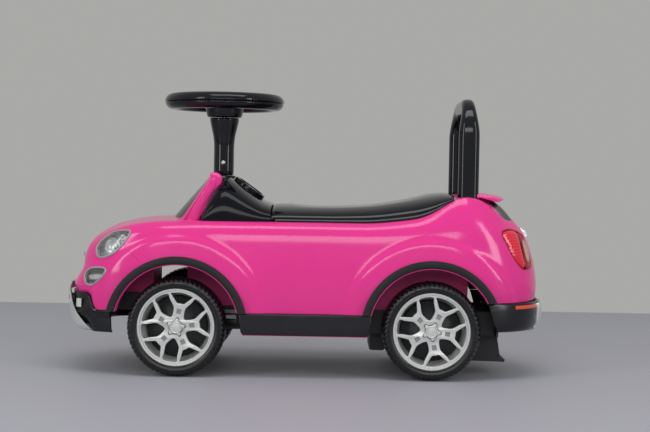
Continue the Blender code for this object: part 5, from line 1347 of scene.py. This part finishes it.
def low_lamp(side, sign):
    well(f"low_housing_{side}", shrink(LOW_LAMP, 0.0003), sign, 0.0080, 0.0020, paint=LAMP_DARK,
         slot="lamp_grey")
    drape(f"low_band_{side}", LOW_BAND, sign, rising(-0.0040, 0.0022, 0.003), 0.002, 0.0010, paint=LAMP,
          slot="lamp_grey")
    drape(f"low_lens_{side}", shrink(LOW_LAMP, 0.0010), sign, dome(0.0024, 0.009), 0.0020, 0.0010,
          node=f"turn_lamp_{side}", **LENS)
    bezel(f"low_bezel_{side}", shrink(LOW_LAMP, 0.0006), sign, 0.0012, 0.0004, 1.3, **LAMP_GREY)


TAIL_INNER = rounded_outline([
    (0.2855, 0.2130), (0.2950, 0.2168), (0.3060, 0.2150), (0.3110, 0.2060), (0.3150, 0.1900),
    (0.3200, 0.1700), (0.3190, 0.1640), (0.3160, 0.1640), (0.3010, 0.1812), (0.2925, 0.1985)], 4)
TAIL_OUTER = rounded_outline([
    (0.3085, 0.2135), (0.3170, 0.2092), (0.3252, 0.1900), (0.3310, 0.1694), (0.3290, 0.1632),
    (0.3222, 0.1628), (0.3180, 0.1850), (0.3135, 0.2030)], 4)
TAIL_CORE = rounded_outline([
    (0.3165, 0.2020), (0.3205, 0.2010), (0.3252, 0.1850), (0.3268, 0.1730), (0.3235, 0.1722),
    (0.3195, 0.1860)], 4)


def ribbed(d, p):
    edge = min(1.0, d / 0.004)
    return 0.0004 + 0.0016 * edge + 0.0004 * math.sin(p.y * 2 * math.pi / 0.0042) * edge


def tail_lamp(side, sign):
    well(f"tail_housing_{side}", shrink(TAIL, 0.0003), sign, 0.0060, 0.0010, **DARK_RED)
    drape(f"tail_lens_{side}", TAIL_INNER, sign, ribbed, 0.0010, 0.0016, paint=RED, node=f"tail_lamp_{side}",
          slot="lamp_red")
    drape(f"tail_lens_outer_{side}", TAIL_OUTER, sign, rising(0.0002, 0.0012, 0.004), 0.0016, 0.0016,
          **DARK_RED)
    drape(f"tail_lens_amber_{side}", TAIL_CORE, sign, rising(0.0012, 0.0010, 0.002), 0.0012, 0.0012,
          paint=AMBER, slot="lamp_red")
    bezel(f"tail_core_rim_{side}", TAIL_CORE, sign, 0.0008, 0.0016, **LAMP_GREY)
    bezel(f"tail_bezel_{side}", shrink(TAIL, 0.0004), sign, 0.0010, 0.0002, **DARK_RED)


for side, sign in SIDES:
    headlight(side, sign)
    low_lamp(side, sign)
    tail_lamp(side, sign)


# Floor pan and carried-over solids

def pan_tray():
    """The floor pan with its stepped nose and tail, which the plain solid leaves square."""
    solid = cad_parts["chassis_pan"]
    tray = placed("pan_tray", solid.data.copy())
    tray.data.transform(solid.matrix_world)
    for x0, x1, z in ((-0.3400, -0.2450, 0.0880), (0.2825, 0.3500, 0.0760)):
        cut(tray, tool(rect(x0, 0.0500, x1, z), -0.2, 0.2))
    finish_piece(tray, node="chassis_pan", **MATT_BLACK)
    for name, half, z in (
            ("pan_nose", [(-0.3120, 0.0660), (-0.3000, 0.0780), (-0.2790, 0.0780), (-0.2790, 0.0555),
                          (-0.2440, 0.0555)], 0.0880),
            ("pan_tail", [(0.2820, 0.0640), (0.2940, 0.0760), (0.3230, 0.0760)], 0.0760)):
        prism(name, [(x, -y) for x, y in half] + half[::-1], z, z + 0.0035, "z", round_by=0.0008,
              **MATT_BLACK)
    prism("pan_step_wall", rect(-0.2485, 0.0622, -0.2445, 0.0950), -0.0555, 0.0555, round_by=0.0006,
          **MATT_BLACK)
    block = [(-0.3080, 0.0524), (-0.2450, 0.0524), (-0.2450, 0.0556), (-0.2790, 0.0556), (-0.2790, 0.0900),
             (-0.3000, 0.0900), (-0.3080, 0.0840)]
    for side, sign in SIDES:
        prism(f"pan_nose_block_{side}", [(x, sign * y) for x, y in block][::sign], 0.0885, 0.1145, "z",
              round_by=0.0010, **MATT_BLACK)


pan_tray()

for paint, nodes in ((PINK_INNER, ("storage_tub",)), (MATT, ("anti_tip_guard", "steering_bridge")),
                     (STEEL, ("knuckle_left", "knuckle_right", "tie_rod", "steering_rod", "rear_axle",
                              "seat_hinge_pin", "tailgate_handle")),
                     (CHROME, ("nose_bar",)), (PALE, ("fog_lens_left", "fog_lens_right"))):
    for node in nodes:
        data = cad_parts[node].data
        data.materials.clear()
        data.materials.append(paint)
        for face in data.polygons:
            face.use_smooth = True


# Studio

floor_paint = bpy.data.materials.new("floor_pale")
floor_paint.use_nodes = True
shader = floor_paint.node_tree.nodes["Principled BSDF"]
shader.inputs["Base Color"].default_value = (0.405, 0.41, 0.46, 1.0)
shader.inputs["Roughness"].default_value = 0.6
# the floor's far edge is where the photographed one meets the backdrop
FLOOR_HALF, FLOOR_EDGE = 4, 0.97
floor_corners = rect(-FLOOR_HALF, -FLOOR_HALF, FLOOR_HALF, FLOOR_EDGE)
floor = raw_mesh("floor", [(x, y, 0) for x, y in floor_corners], [(0, 1, 2, 3)])
floor.data.materials.append(floor_paint)

for name, place, aim, width, height, power in (
        ("top_soft", (0.1, -0.7, 2.2), (0, 0, 0), 1.7, 0.8, 15),
        ("left_soft", (-1.7, -1.6, 0.95), (-0.1, 0, 0.2), 0.45, 1.7, 13),
        ("right_soft", (1.9, -1.5, 0.95), (0.1, 0, 0.2), 0.40, 1.7, 12),
        ("fill", (-0.1, -3.2, 1.1), (0, 0, 0.15), 2.4, 0.7, 20)):
    light = bpy.data.lights.new(name, "AREA")
    light.shape = "RECTANGLE"
    light.size = width
    light.size_y = height
    light.energy = power
    obj = placed(name, light)
    obj.location = place
    obj.rotation_euler = (Vector(aim) - Vector(place)).to_track_quat("-Z", "Y").to_euler()

world = bpy.data.worlds.new("studio")
bpy.context.scene.world = world
world.use_nodes = True
world.node_tree.nodes["Background"].inputs["Color"].default_value = (0.400, 0.400, 0.388, 1.0)
world.node_tree.nodes["Background"].inputs["Strength"].default_value = 1.0

# the camera as solved from the photograph; focal length and width in pixels, angles in degrees
FOCAL, PHOTO_WIDTH = 1408.0, 650.0
CAMERA_PLACE, CAMERA_PITCH, CAMERA_ROLL = (0.0285, -2.14, 0.2915), 1.63, 1.03
camera_data = bpy.data.cameras.new("camera")
camera_data.sensor_width = 36.0
camera_data.lens = FOCAL / PHOTO_WIDTH * camera_data.sensor_width
camera_data.clip_start = 0.05
camera = placed("camera", camera_data)
pitch, roll = math.radians(CAMERA_PITCH), math.radians(CAMERA_ROLL)
camera.matrix_world = (Matrix.Translation(CAMERA_PLACE)
                       @ Matrix.Rotation(math.radians(90) - pitch, 4, "X") @ Matrix.Rotation(roll, 4, "Z"))
bpy.context.scene.camera = camera
bpy.context.scene.view_settings.view_transform = "Standard"

drop(SKIN)
